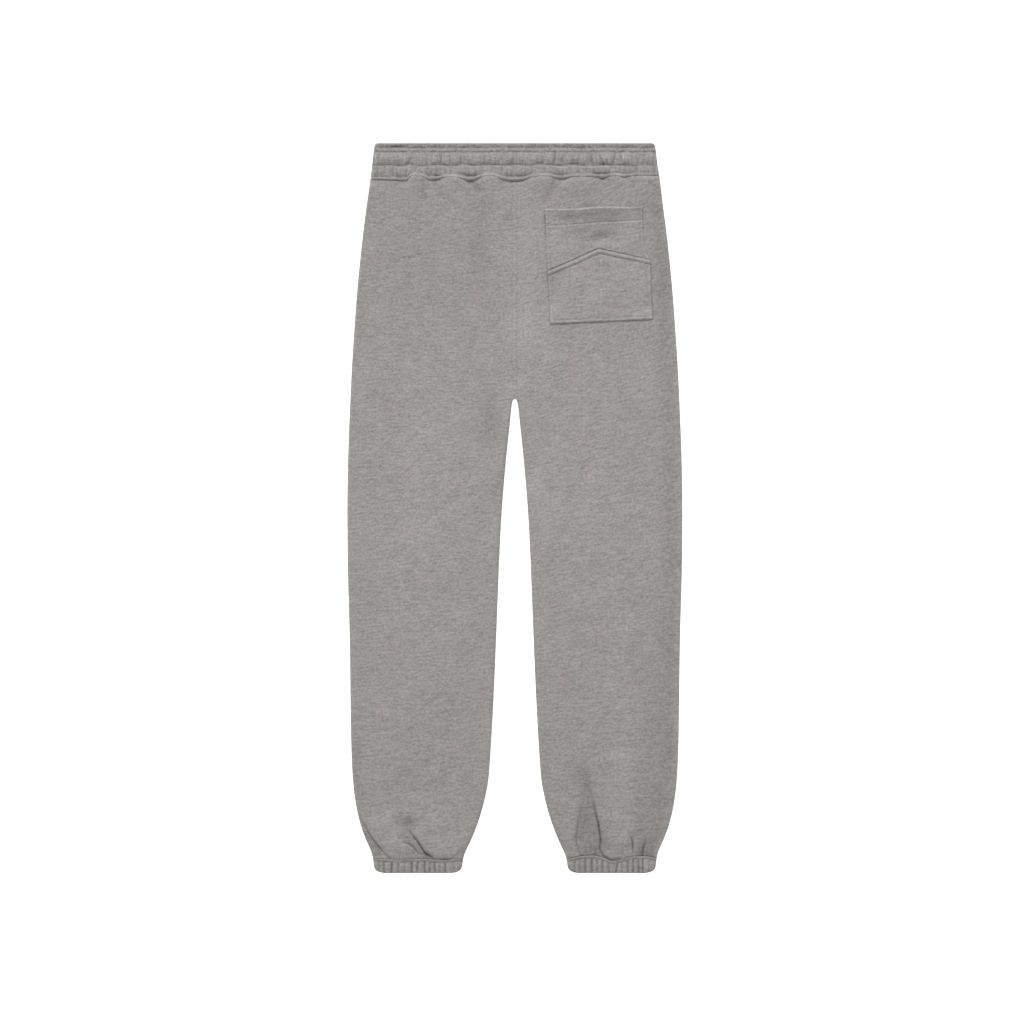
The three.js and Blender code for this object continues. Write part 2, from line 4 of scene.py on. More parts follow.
import bpy
import numpy as np
from bpy.props import FloatProperty, FloatVectorProperty, IntProperty, PointerProperty
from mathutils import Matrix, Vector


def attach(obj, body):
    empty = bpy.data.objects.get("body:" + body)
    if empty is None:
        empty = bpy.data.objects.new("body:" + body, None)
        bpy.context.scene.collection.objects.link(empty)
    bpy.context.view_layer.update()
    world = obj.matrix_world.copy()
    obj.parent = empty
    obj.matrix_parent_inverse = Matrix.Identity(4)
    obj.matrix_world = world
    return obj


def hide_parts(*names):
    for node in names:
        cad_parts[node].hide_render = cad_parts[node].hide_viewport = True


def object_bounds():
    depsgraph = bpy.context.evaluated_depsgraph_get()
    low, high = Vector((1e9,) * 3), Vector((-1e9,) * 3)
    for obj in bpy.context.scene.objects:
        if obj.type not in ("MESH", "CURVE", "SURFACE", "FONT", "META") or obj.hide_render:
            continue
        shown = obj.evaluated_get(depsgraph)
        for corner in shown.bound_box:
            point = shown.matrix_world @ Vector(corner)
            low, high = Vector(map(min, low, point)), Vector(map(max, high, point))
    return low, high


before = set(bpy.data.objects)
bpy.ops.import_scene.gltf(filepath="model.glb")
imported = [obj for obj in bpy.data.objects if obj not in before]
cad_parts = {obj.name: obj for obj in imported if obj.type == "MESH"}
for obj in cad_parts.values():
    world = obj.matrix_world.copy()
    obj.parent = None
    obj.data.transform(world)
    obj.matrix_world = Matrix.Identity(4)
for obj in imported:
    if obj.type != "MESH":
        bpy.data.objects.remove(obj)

bl_info = {
    "name": "Fleece joggers laid flat",
    "version": (1, 0, 0),
    "blender": (4, 5, 0),
    "location": "3D View > Sidebar > Joggers",
    "description": "Sews heather grey joggers that lie flat with the seat up",
    "category": "Object",
}

# The pattern is drafted in millimetres. "down" runs from the waistband's top edge to the bottom of
# the hems, "x" from the centre line, and "leg" is -1 for the leg at -X and 1 for the leg at +X.
MM = 0.001
CAD_BOX = [list(map(float, corner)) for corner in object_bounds()]
LENGTH = (CAD_BOX[1][1] - CAD_BOX[0][1]) / MM
LEFT, RIGHT = -1, 1

ROLL = 5.5  # how far in from a folded edge the cloth becomes level
SEAM_GAP = 0.3  # between the back and the front layer at a fold
JOIN = 0.01  # half of the gap between two pieces at their seam
CROTCH = 358.0
FORK_BLEND = 12.0  # below the crotch, where the flat inner edge becomes a fold
SEAT_ROW = 3.2  # from the centre back seam to the topstitching on either side
CROWN = 0.6  # how much higher the middle of a leg lies than its edges
WAIST_HEIGHT = 8.8
HEM_HEIGHT = 8.6
CASING = 3.6  # wall of a casing: two layers of cloth round an elastic
RIM = 1.6  # how far in from its rim a casing is rounded
RIM_TURN = 0.42  # share of its wall by which each face turns in there
WAIST_SEAM_MEAN = 49.0
HEM_SEAM_MEAN = 1002.5
LEG_COLUMNS = 19  # of the solids across a leg. Each mesh here has a multiple of them.
WAIST_COLUMNS = 39
RIM_STEP = 0.3  # between the rows of the mesh round a rim
ROLL_STEPS, INNER_ROLL_STEPS = 10, 4  # columns of the mesh round a fold, outside and inside
FACES = {"back": 1, "front": -1}  # which way each layer's face looks, up or down
LEGS = {"left": LEFT, "right": RIGHT}


def table(columns, *rows):
    """Rows of numbers whose columns have names."""
    row_type = namedtuple("Row", columns)
    return [row_type(*row) for row in rows]


# The folded edges of a leg. The inner one starts at the crotch.
OUTER_EDGE = table(
    "down x",
    (0, 193.6), (3, 196.4), (31, 200), (52, 203), (94, 208.6), (136, 213.9), (220, 222), (346, 230),
    (472, 234.4), (514, 234.8), (577, 234.4), (703, 231.3), (829, 229.6), (871, 228.2),
    (892, 226.9), (913, 224.7), (934, 221.2), (955, 216), (976, 208.3), (997, 200), (1004, 198.6),
    (1013, 197.4), (1018, 194.8), (1020.5, 190.5), (LENGTH, 184))
INNER_EDGE = table(
    "down x",
    (CROTCH, 0.4), (CROTCH + 1.5, 2.6), (367, 4.4), (388, 6.5), (430, 11), (472, 14.8), (514, 18.2),
    (577, 21.5), (640, 24), (703, 26.5), (766, 29.2), (829, 32.5), (871, 35.2), (892, 37),
    (913, 40.9), (934, 46.1), (955, 52.8), (976, 61.1), (997, 70.5), (1004, 72.4), (1013, 73.8),
    (1018, 76.4), (1020.5, 80.5), (LENGTH, 87))
LOFT = table("down height", (45, 7.3), (110, 6.8), (640, 7), (1003, 7.3))

# The seam under the waistband rises over each puff of the cloth that is eased into it. Above it
# runs a stitched strip, as tall as the last column says.
WAIST_SEAM = table(
    "x down puff strip",
    (-203, 51.2, 0.55, 4.4), (-175, 52, 0.65, 4.4), (-152, 53.2, 0.4, 5.5), (-145.5, 46.6, 2.2, 5),
    (-139, 44.9, 3, 4.6), (-132, 45.2, 3, 4.6), (-125, 49, 1.6, 5.4), (-119, 51.9, 0.2, 5.8),
    (-108, 51.4, 0, 5.8), (-98, 47.8, 2, 4.8), (-84, 46.9, 2.8, 4.6), (-75, 49.6, 1.6, 5.6),
    (-64, 53, 0, 6.5), (-55, 51.8, 0, 6.2), (-43, 46.3, 2.4, 4.8), (-35, 45.1, 3, 4.6),
    (-28, 45.7, 2.8, 4.6), (-17, 51.8, 0.6, 6), (-2, 53.6, 0, 6.4), (9, 52.8, 0, 6.2),
    (26, 47.2, 2, 4.8), (38, 45.6, 2.6, 4.6), (48, 46.4, 2, 4.8), (58, 49.5, 0.6, 5.8),
    (68, 50.4, 0, 5.8), (80, 47.4, 1.6, 4.8), (92, 46.5, 2.2, 4.6), (108, 47.2, 1.6, 5),
    (123, 49.2, 0, 6.2), (136, 46.2, 2, 4.8), (144, 45.5, 2.4, 4.6), (153, 48.2, 0.6, 5.2),
    (165, 46, 1.8, 4.6), (180, 45.2, 1.8, 4.4), (203, 45.4, 1.2, 4.4))
HEM_SEAM = table(
    "x down",
    (-198, 1001.5), (-160, 1003), (-125, 1002), (-105, 1004), (-73, 1001.5), (73, 1002), (96, 998),
    (110, 997.5), (122, 1000), (138, 1005.5), (152, 1002), (168, 998.5), (184, 998.5), (198, 1001))

# Soft troughs (rise below zero) and swells of the cloth along a line of nodes. "shade" is
# painted shade along them, and painted highlight where it is below zero.
SWELLS = table(
    "nodes width rise shade",
    ([(-127, 54), (-125, 78)], 4, -1.4, 0.1), ([(-132, 84), (-132, 126)], 5, -0.5, 0.025),
    ([(-157, 56), (-160, 69)], 6, 0.6, -0.02), ([(-170, 165), (-112, 155)], 3, -0.5, 0.01),
    ([(-63, 55), (-49, 68)], 4.5, -1.5, 0.14), ([(-112, 56), (-104, 74)], 5, -0.8, 0.1),
    ([(190, 56), (200, 72)], 5, -0.6, 0.08), ([(-52, 84), (-44, 104)], 12, -0.5, 0.02),
    ([(-17, 56), (-16, 64)], 3, -0.9, 0.06), ([(60, 53), (44, 81)], 7, -1.3, 0.08),
    ([(74, 56), (54, 86)], 6, 0.9, -0.04), ([(122, 52), (130, 62)], 6, -1, 0.06),
    ([(152, 50), (146, 62)], 5, 0.7, -0.03), ([(160, 51), (166, 62)], 4, -1, 0.06),
    ([(176, 56), (184, 78)], 5, -0.5, 0.03), ([(-176, 56), (-172, 74)], 7, -0.5, 0.02),
    ([(-186, 955), (-172, 985)], 12, 1.6, -0.02), ([(-114, 955), (-102, 988)], 15, 1.8, -0.02),
    ([(82, 950), (78, 985)], 8, 0.8, 0), ([(150, 870), (138, 945)], 17, 1.4, -0.02),
    ([(140, 950), (143, 990)], 13, 1.8, -0.01), ([(173, 974), (172, 990)], 5, 1, 0),
    ([(101, 900), (95.5, 930), (91, 952), (88, 972)], 4.5, -1, 0.1),
    ([(110, 925), (117, 954), (120, 976), (119, 990)], 3.4, 0, 0.15),
    ([(-141, 974), (-129, 991), (-118, 1000)], 3.4, -0.3, 0.1),
    ([(165, 972), (166.5, 986)], 2.5, -0.3, 0.12), ([(-200, 975), (-189, 990)], 3, -0.3, 0.1),
    ([(102, 884), (110, 930)], 4, -0.8, 0.08), ([(193, 156), (204, 147)], 1.7, -0.5, 0.05),
    ([(192, 149), (201, 137)], 1.7, -0.5, 0.05), ([(195, 162), (207, 158)], 1.7, -0.4, 0.04))

# Soft ovals: middle, half sizes across and along the leg, rise and shade. The shade is painted
# shade, and painted highlight where it is below zero.
PATCHES = table(
    "x down wide tall rise shade",
    (-50, 130, 15, 60, -0.5, 0.09), (-36, 387, 12, 32, -0.8, 0.15), (-25, 486, 10, 16, -0.4, 0.08),
    (20, 258, 28, 34, 0.5, -0.13), (50, 296, 16, 14, 0.3, -0.09), (-2, 344, 18, 14, 0.3, -0.11),
    (-8, 378, 7, 16, 0.2, -0.1), (4, 145, 24, 95, 0.3, -0.07), (-7, 106, 6, 8, -0.5, 0.18),
    (29, 478, 10, 22, 0.4, -0.14), (50, 189, 9, 7, -0.4, 0.16), (105, 87, 14, 4, -0.2, 0.1),
    (172, 87, 12, 4, -0.2, 0.1), (78, 105, 24, 7, -0.4, 0.19), (132, 103, 30, 8, -0.4, 0.16),
    (114, 112, 14, 12, -1, 0.03), (114, 129, 12, 7, -0.4, 0.14), (109, 134, 8, 4, -0.2, 0.08),
    (137, 111, 9, 8, -0.3, 0.1), (128, 126, 13, 8, -0.6, 0.19), (90, 127, 13, 9, -0.2, 0.09),
    (124, 142, 17, 5, 0.6, -0.19), (55, 142, 14, 24, 0.3, -0.13), (54, 236, 6, 10, 0.3, -0.1),
    (161, 122, 9, 14, 0.2, -0.06), (186, 238, 7, 8, 0.3, -0.12), (184, 164, 5, 5, 0.2, -0.12),
    (92, 76, 15, 10, -0.4, 0.1), (-23, 75, 8, 8, 0.2, -0.09), (28, 177, 10, 10, 0.2, -0.08),
    (187, 188, 5, 8, 0.2, -0.1), (165, 243, 10, 6, 0.2, -0.07), (-143, 306, 12, 10, 0.2, -0.07),
    (61, 65, 8, 8, -0.3, 0.08), (213, 165, 9, 75, -0.5, 0.09), (-146, 140, 30, 40, -0.3, 0.05),
    (-171, 173, 10, 8, -0.2, 0.08), (-84, 139, 12, 12, -0.2, 0.07), (-121, 86, 8, 8, -0.2, 0.08),
    (-203, 88, 9, 20, -0.3, 0.08), (-117, 222, 12, 10, -0.2, 0.1), (-217, 225, 8, 30, -0.2, 0.06),
    (-200, 647, 14, 20, -0.3, 0.06), (-135, 560, 40, 60, 0.3, -0.05),
    (-121, 425, 32, 45, 0.2, -0.05), (-27, 542, 6, 20, 0.2, -0.08), (-37, 815, 5, 60, 0.2, -0.06),
    (50, 510, 26, 45, 0.2, -0.03), (105, 500, 45, 80, 0.2, -0.03), (154, 850, 14, 110, 0.9, -0.05),
    (192, 843, 18, 120, -0.8, 0.06), (183, 922, 18, 26, -0.5, 0.09), (177, 948, 13, 12, -0.3, 0.08),
    (93, 938, 6, 16, -0.4, 0.13), (131, 944, 9, 16, -0.2, 0.1), (118, 957, 6, 9, -0.2, 0.1),
    (161, 981, 6, 8, -0.3, 0.1), (145, 990, 22, 7, -0.2, 0.08), (137, 984, 6, 8, -0.2, 0.08),
    (186, 968, 7, 5, 0.2, -0.1), (-150, 925, 9, 7, -0.2, 0.09), (124, 914, 8, 10, -0.2, 0.09),
    (122, 996, 5, 6, -0.3, 0.16), (125, 979, 7, 11, -0.3, 0.2), (207, 700, 12, 40, -0.3, 0.06),
    (97, 891, 13, 22, -1, 0.15), (42, 872, 6, 18, -0.3, 0.1), (69, 982, 6, 9, -0.4, 0.1),
    (-44, 895, 10, 16, 0.4, -0.1), (-138, 885, 24, 18, -0.4, 0.08), (-223, 872, 7, 32, -0.3, 0.1),
    (-133, 928, 18, 14, 0.8, -0.08), (-149, 951, 12, 7, -1.6, 0.28), (-129, 996, 12, 5, -0.5, 0.2),
    (-142, 989, 9, 6, -0.3, 0.1), (-121, 999, 7, 5, -0.3, 0.13), (-153, 998, 14, 4, 0, 0.06),
    (156, 954, 7, 9, 0.3, -0.1), (165, 966, 5, 4, -0.2, 0.1), (176, 960, 5, 4, 0, -0.07),
    (226, 806, 5, 30, 0, -0.1), (103, 950, 8, 9, -0.2, 0.09), (126, 170, 8, 6, 0, 0.09),
    (-226, 370, 6, 14, 0, 0.08), (-184, 368, 20, 26, 0, 0.05), (-190, 822, 22, 40, 0, -0.035),
    (5, 255, 10, 30, 0, -0.04), (96, 932, 8, 10, 0, 0.06), (63, 968, 8, 8, 0, 0.07),
    (-217, 930, 6, 8, 0, 0.08), (-89, 911, 9, 8, 0, -0.07))

# Flat places that lie lower between folds, with soft edges. Their shade is painted shade.
FACETS = table(
    "nodes edge rise shade",
    ([(-217, 951), (-200, 973), (-187, 990), (-176, 1001), (-203, 1003), (-216, 975)],
     5, -1.8, 0.14),
    ([(-162, 973), (-146, 965), (-135, 979), (-126, 994), (-134, 994), (-141, 986), (-153, 980)],
     4, -0.7, 0.08),
    ([(103, 900), (97, 928), (87, 973), (90, 1012), (123, 1012), (120, 976), (117, 954),
      (110, 925)], 7, -2, 0.17),
    ([(160, 966), (165, 979), (165, 1012), (199, 1012), (204, 979), (192, 962), (172, 956)],
     8, -1.2, 0.1),
    ([(-86, 1001), (-73, 987), (-67, 984), (-70, 1003)], 4, -1, 0.08))

# Sharp creases, each along a line of nodes. Seen along the line from above, the cloth at its
# right stands higher by "step", or at its left where that is negative, and evens out over "reach".
CREASES = table(
    "nodes width depth step reach",
    ([(-216, 946), (-200, 973), (-187, 990), (-175, 1001)], 1.5, 2.4, 1.3, 14),
    ([(-147, 964), (-135.5, 978.6), (-125.7, 994.4), (-113, 1002)], 1.5, 3, 1.8, 16),
    ([(-116, 1001), (-98, 1003), (-86, 1001)], 1.2, 1.1, 0.9, 9),
    ([(-88, 1001), (-79.5, 994), (-72, 985)], 1.2, 1.2, 0.7, 8),
    ([(-157, 979), (-148, 981), (-141.3, 986), (-135, 995)], 1.2, 2.3, 0, 8),
    ([(-164, 975), (-155, 968), (-146, 964)], 1.1, 0.8, 0, 8),
    ([(90, 945), (85.8, 972.7), (87.1, 984), (93, 998)], 1.5, 1.6, -1.2, 12),
    ([(110, 925), (117, 954), (120, 976), (118.6, 988), (124, 998)], 2, 2.9, 1.6, 16),
    ([(103, 903), (107, 914), (112, 930)], 2, 0.8, 0.5, 9),
    ([(119, 992), (125, 999), (135, 1003.5), (147, 1002)], 1.7, 2.2, 1, 8),
    ([(160, 966), (165.2, 979), (165.2, 997)], 1.5, 2.3, -1.3, 10),
    ([(183, 979), (180, 988), (178.5, 1001)], 1.7, 2.7, 0.8, 8),
    ([(98.3, 983), (99.7, 996)], 1.1, 0.9, 0, 6), ([(106.7, 982), (106.4, 995)], 1.1, 1.1, 0, 6),
    ([(112.3, 984), (113.7, 996)], 1.1, 0.8, 0, 6), ([(-190, 996), (-186, 1003)], 1.1, 1, 0, 6),
    ([(150, 990), (151, 1001)], 1.1, 0.9, 0, 6), ([(-160, 994), (-162, 1003)], 1.1, 0.7, 0, 6))
# The dark line in a crease is painted shade.
CREASE_WIDTH = 1.1  # of the dark line in a crease
DEEPEST_CREASE = 3.6  # so that the cloth never reaches its own inside

# Rows of stitching along the waistband, and how the cloth puffs and gathers below each of them.
# The first row is the rim, and the last one is the top of the strip over the seam.
WAIST_ROWS = table(
    "down groove puff peak pitch ruck",
    (0, 0, 0.8, 0.25, 7, 0.6), (7.3, 0.5, 0.7, 0.55, 8, 0.6), (13.2, 0.3, 2, 0.55, 13, 1.5),
    (31.6, 0.45, 1.3, 0.45, 9, 0.9), (44, 0.6, 0, 0.5, 0, 0))

# Tucks that the elastic draws in the waistband: middle, half sizes, depth and shade. Those that
# are wide lie along the rows of stitching, and the tall ones run across them. The shade is painted
# shade, and painted highlight below zero; the last ones have no depth and are only painted.
Tuck = namedtuple("Tuck", "x row wide tall depth shade")
TUCKS = [
    *[Tuck(x, 5.4, wide, 2, shade, 0.9 * shade) for x, wide, shade in (
        (-164, 12, 0.75), (-136, 6, 0.1), (-110, 9, 0.33), (-86, 6, 0.2), (-64, 11, 0.26),
        (-45, 5, 0.2), (-29, 8, 0.15), (-4, 4, 0.2), (34, 14, 0.16), (58, 7, 0.36),
        (70, 5, 0.2), (96, 9, 0.2), (121, 7, 0.12), (138, 6, 0.18), (159, 7, 0.24),
        (188, 5, 0.1))],
    *[Tuck(x, 29.5, wide, 1.9, 3 * abs(shade), shade) for x, wide, shade in (
        (-190, 6, -0.08), (-172, 4, 0.06), (-146, 6, 0.16), (-106, 6, -0.06), (-79, 9, 0.22),
        (-60, 4, 0.1), (-42, 9, 0.16), (-7, 6, 0.12), (16, 6, 0.1), (37, 4, 0.3),
        (84, 7, 0.14), (104, 5, -0.1), (122, 7, 0.28), (138, 5, -0.1), (158, 7, 0.18),
        (180, 6, -0.1))],
    *[Tuck(x, row, 1.5, 5, 4 * shade, shade) for x, row, shade in (
        (-187, 25, 0.1), (-163, 22, 0.18), (-129, 19, 0.1), (-116, 17, 0.08), (-76, 24, 0.18),
        (-69, 26, 0.1), (-57, 20, 0.16), (-26, 22, 0.22), (22, 24, 0.18), (56, 22, 0.16),
        (65, 23, 0.22), (90, 22, 0.12), (100, 18, 0.08), (128, 25, 0.12), (138, 20, 0.08),
        (148, 22, 0.18), (168, 24, 0.1))],
    *[Tuck(x, 42.8, wide, 1.5, 3 * shade, shade) for x, wide, shade in (
        (-192, 5, 0.08), (-161, 8, 0.15), (-115, 8, 0.18), (-66, 9, 0.2), (-57, 12, 0.06),
        (0, 14, 0.18), (63, 8, 0.12), (68, 5, 0.1), (117, 11, 0.2), (152, 5, 0.12))],
    *[Tuck(x, row, wide, tall, 0, shade) for x, row, wide, tall, shade in (
        (-185, 43.6, 17, 1.6, -0.12), (-186, 33, 18, 2.2, 0.08), (-131, 36, 7, 3, -0.11),
        (-107, 41, 6, 2.5, -0.09), (53, 42, 6, 2.5, -0.1))],
]
WAIST_END = WAIST_SEAM_MEAN - JOIN
FULL_PUFF = 2.6  # a puff of WAIST_SEAM that lifts the waistband fully
PUFF_CLIMB = 0.6  # how far the waistband rises towards a puff above its strip
FACING_PUFF = 0.3  # share of the puffs on the side that the garment lies on
TOUCHING_PUFF = 3.0  # height of a puff that reaches down to the surface there
FRONT_STRIP = 4.6  # height of the strip on that side
WAIST_HALF = 205  # how far to both sides the waistband has small creases
FINE_PITCH = 5.2  # between the finer creases of its widest stretch

HEM_ROWS = (0.8, 4.0)  # stitching below a hem's seam
# Gathers across the hems.
HEM_RUCKS = table(
    "x slant depth",
    (-190, 1, 0.8), (-183, 0, 1.4), (-172, -1, 1.9), (-163, 1, 1.3), (-154, 0, 1), (-144, 0, 1.8),
    (-136, -2, 1.6), (-126, 1, 1.8), (-119, 0, 1.3), (-112, 1, 1.6), (-105, 0, 0.8), (-97, 0, 1.6),
    (-85, 1, 0.8), (84, 0, 1), (91, 0, 0.8), (99, 0, 1.5), (108, 0, 1.8), (115, 0, 0.9),
    (123, 0, 1.5), (131, 2, 1.3), (143, -3, 1.8), (150, 0, 0.8), (158, 0, 1.4), (166, 0, 1.6),
    (173, 1, 1.3), (179, 0, 1.7), (188, 0, 0.9))

# The patch pocket: its sides run from its top edge, along 0, to its lower edge, along 1.
POCKET_SIDES = table(
    "along left right",
    (0, 41.6, 179.2), (0.17, 43.2, 179.8), (0.36, 44.6, 181.8), (0.44, 45.1, 186),
    (0.5, 45.6, 190.4), (0.75, 47.4, 191.4), (1, 49.3, 193.5))
POCKET_TOP = (92.4, 88.6)  # "down" at its left and right end
POCKET_BOTTOM = (254.1, 247.5)
POCKET_WIDTH = 142.0
POCKET_HEIGHT = 160.0
POCKET_CLEARANCE = 0.2  # between the pocket and the leg
PANEL_GAP = 0.05  # half of the gap between its two panels
POCKET_HOLLOW = -1.85  # the deepest that its face sinks, at its edges, still above the leg
POCKET_ROWS = (1.7, 5.0)  # stitching inside its edge
WELT = 7.8  # height of the welt under the pointed seam
POCKET_POINT = table("across along", (0, 0.537), (0.53, 0.358), (1, 0.469))
# How far down the uneven edge of the mouth is drawn. That fades out over a part of the height.
MOUTH_FADES = 0.25
POCKET_MOUTH = table(
    "across down", (0, 0), (0.2, 0.7), (0.38, 0.9), (0.49, -0.9), (0.7, -0.7), (0.86, 0.9), (1, 0))
# Ridges, and grooves where rise is below zero, "at" so far from the turned edge, the mouth, the
# hem's stitching or the pointed seam. Then lines of painted shade, and of painted highlight below
# zero.
POCKET_RIDGES = table(
    "place at width rise",
    ("edge", 2.6, 1.3, 0.4), ("edge", 5, 0.8, -0.45), ("mouth", 1.8, 1.7, 0.9),
    ("hem", 0, 0.9, -0.75), ("hem", 2.3, 1.3, 0.45), ("seam", 4, 2.1, 1.1),
    ("seam", 0, 0.8, -0.7), ("seam", WELT, 0.9, -0.8))
POCKET_LINES = table(
    "place at width shade",
    ("seam", WELT, 0.9, 0.17), ("hem", 0, 1, 0.14), ("hem", 2.3, 1.2, -0.1),
    ("edge", 5, 0.9, 0.08), ("edge", 1.8, 1, -0.09))
# The outline of the pocket (across, along), from its upper corner near the centre past the lower
# edge, and how dark the painted shadow beside it is, by the share of that way.
POCKET_CORNERS = [
    (0, 0), (0, 0.5), (0, 1), (1, 1), (1, 0.75), (1, 0.5), (1, 0.36), (1, 0.17), (1, 0)]
POCKET_DARK = table(
    "share shade",
    (0, 0.35), (0.04, 0.4), (0.12, 0.25), (0.34, 0.2), (0.36, 0.06), (0.64, 0.04), (0.67, 0.12),
    (0.8, 0.14), (0.83, 0.02), (1, 0.02))

# The rings of a stitch: how far along it, how thick, and how high, in thicknesses of the thread.
STITCH_RINGS = table(
    "along girth height", (0, 0.5, -0.45), (0.25, 1, 0.25), (0.75, 1, 0.25), (1, 0.5, -0.45))
STITCH_SIDES = 5
SEWN_ACROSS = (0.4, 2.6)  # how far round a casing its rows of stitches reach

WALE, COURSE = 1.15, 0.9  # width and height of the knit's loops
# A fleece: how light it is, and how far its grain runs askew, both as a share of the legs' own.
LEG_FLEECE, POCKET_FLEECE, CASING_FLEECE = table(
    "name shade askew", ("leg_fleece", 1.0, 1.0), ("pocket_fleece", 1.0, 0.62),
    ("casing_fleece", 0.97, 0.0))

# The photograph's frame, and the garment's place in it in pixels.
PHOTO_PIXELS = 1024
PIXEL = 1.4 * MM
PHOTO_MIDDLE = (514.8, 508.0)
# The stage, in metres.
KEY_PLACE = (-2, 9.6, 6.9)
KEY_SIZE = 4.5
FLOOR_HALF = 24.0
FLOOR_GLOW = 0.75  # keeps the floor as white as the photograph's


class JoggersCut(bpy.types.PropertyGroup):
    """Sizes of the cloth and its sewing."""

    cloth: FloatProperty(
        name="Cloth", description="Thickness of the fleece, in mm", default=2.0, min=1.0, max=3.0)
    pocket_cloth: FloatProperty(
        name="Pocket cloth", description="Thickness of the pocket, in mm", default=1.8)
    mesh: FloatProperty(
        name="Mesh", description="Size of the cloth's mesh where it is creased, in mm", default=1.1)
    stitch: FloatProperty(
        name="Stitch", description="Length of a stitch, in mm", default=2.8)
    stitch_gap: FloatProperty(
        name="Stitch gap", description="Between two stitches of a row, in mm", default=0.7)
    thread: FloatProperty(
        name="Thread", description="Thickness of the thread, in mm", default=0.45)
    seed: IntProperty(name="Seed", description="Chooses the small uneven places", default=7)


class JoggersFinish(bpy.types.PropertyGroup):
    """Colours of the yarn and the light."""

    dark_yarn: FloatVectorProperty(
        name="Dark yarn", description="The darkest fibres of the heather", subtype="COLOR",
        default=(0.155, 0.146, 0.139), min=0, max=1)
    light_yarn: FloatVectorProperty(
        name="Light yarn", description="The lightest fibres of the heather", subtype="COLOR",
        default=(0.40, 0.385, 0.37), min=0, max=1)
    thread: FloatVectorProperty(
        name="Thread", description="Sewing thread", subtype="COLOR",
        default=(0.33, 0.318, 0.305), min=0, max=1)
    contrast: FloatProperty(
        name="Contrast", description="How strongly the two yarns part", default=0.8, min=0)
    floor: FloatVectorProperty(
        name="Floor", description="The surface under the garment", subtype="COLOR",
        default=(0.9, 0.9, 0.9), min=0, max=1)
    key_power: FloatProperty(
        name="Key light", description="Power of the light beyond the waistband, in W", default=1300)
    sky_power: FloatProperty(
        name="Sky", description="Brightness of the even light from all round", default=0.6)


def smooth_line(rows, value):
    """A smooth curve through a table's rows that doesn't overshoot them."""
    at = np.array([row[0] for row in rows], float)
    height = np.array([getattr(row, value) for row in rows], float)
    steep = np.diff(height) / np.diff(at)
    slope = np.concatenate([steep[:1], np.zeros(len(rows) - 2), steep[-1:]])
    before, after = steep[:-1], steep[1:]
    same_way = before * after > 0
    slope[1:-1][same_way] = (2 * before * after)[same_way] / (before + after)[same_way]

    def line(x):
        i = np.clip(np.searchsorted(at, x, side="right") - 1, 0, len(at) - 2)
        span = at[i + 1] - at[i]
        t = np.clip((x - at[i]) / span, 0, 1)
        bend = t * t * (3 - 2 * t)
        leave = span * slope[i] * t * (1 - t) ** 2
        arrive = span * slope[i + 1] * t * t * (t - 1)
        return height[i] * (1 - bend) + height[i + 1] * bend + leave + arrive

    return line


def smoothstep(x, low, high):
    t = np.clip((x - low) / (high - low), 0, 1)
    return t * t * (3 - 2 * t)


def bell(distance, width):
    """1 at distance 0, and next to nothing beyond twice the width."""
    return np.exp(-((distance / width) ** 2))


def flats(x, count=2):
    """Arrays of zeros as large as x."""
    return [np.zeros(np.shape(x)) for _ in range(count)]


outer_edge = smooth_line(OUTER_EDGE, "x")
fork_edge = smooth_line(INNER_EDGE, "x")
loft = smooth_line(LOFT, "height")
waist_puff = smooth_line(WAIST_SEAM, "puff")
strip_height = smooth_line(WAIST_SEAM, "strip")


def inner_edge(down):
    return np.where(down <= CROTCH, 0.004, fork_edge(down))


WAIST_LINE = {
    "back": lambda x, line=smooth_line(WAIST_SEAM, "down"): line(x) + 1,
    "front": smooth_line([WAIST_SEAM[0], WAIST_SEAM[-1]], "down"),
}
HEM_LINE = {
    "back": smooth_line(HEM_SEAM, "down"),
    "front": smooth_line([HEM_SEAM[0], HEM_SEAM[4], HEM_SEAM[5], HEM_SEAM[-1]], "down"),
}


def section(across, outer, inner, folded, height, inset):
    """A cross-section: 0 at the outer fold, level from 1 to 2, and 3 at the inner edge."""
    level = np.clip(across - 1, 0, 1)
    x_level = (outer - ROLL) * (1 - level) + (inner + ROLL) * level
    is_outer = across < 1
    is_level = (across >= 1) & (across <= 2)
    angle = np.clip(np.where(is_outer, across, 3 - across), 0, 1) * np.pi / 2
    reach = (ROLL - inset) * np.cos(angle)
    middle = height / 2
    rolled = middle + (middle - inset) * np.sin(angle) + SEAM_GAP / 2 * (1 - np.sin(angle))
    flat = np.sin(angle) ** 2
    flat_x = (inner + ROLL) * (3 - across) + inner * (across - 2)
    x_inner = flat_x * (1 - folded) + (inner + ROLL - reach) * folded
    z_inner = (height - inset) * (1 - folded) + rolled * folded
    flat_inner = 1 - folded + flat * folded
    x = np.where(is_level, x_level, np.where(is_outer, outer - ROLL + reach, x_inner))
    z = np.where(is_level, height - inset, np.where(is_outer, rolled, z_inner))
    return x, z, np.where(is_level, 1.0, np.where(is_outer, flat, flat_inner))


def along_nodes(x, down, nodes):
    """Signed distance to a line of nodes, and the share of its length there."""
    nodes = np.array(nodes, float)
    lengths = np.hypot(*np.diff(nodes, axis=0).T)
    done = np.concatenate([[0], np.cumsum(lengths)]) / lengths.sum()
    best = np.full(np.shape(x), np.inf)
    signed, share = flats(x)
    for i, (start, end) in enumerate(zip(nodes[:-1], nodes[1:])):
        run = end - start
        t = ((x - start[0]) * run[0] + (down - start[1]) * run[1]) / lengths[i] ** 2
        t = np.clip(t, 0, 1)
        off_x, off_down = x - start[0] - t * run[0], down - start[1] - t * run[1]
        away = np.hypot(off_x, off_down)
        side = np.sign(run[1] * off_x - run[0] * off_down)
        closer = away < best
        best = np.where(closer, away, best)
        signed = np.where(closer, away * side, signed)
        share = np.where(closer, done[i] + t * (done[i + 1] - done[i]), share)
    return signed, share


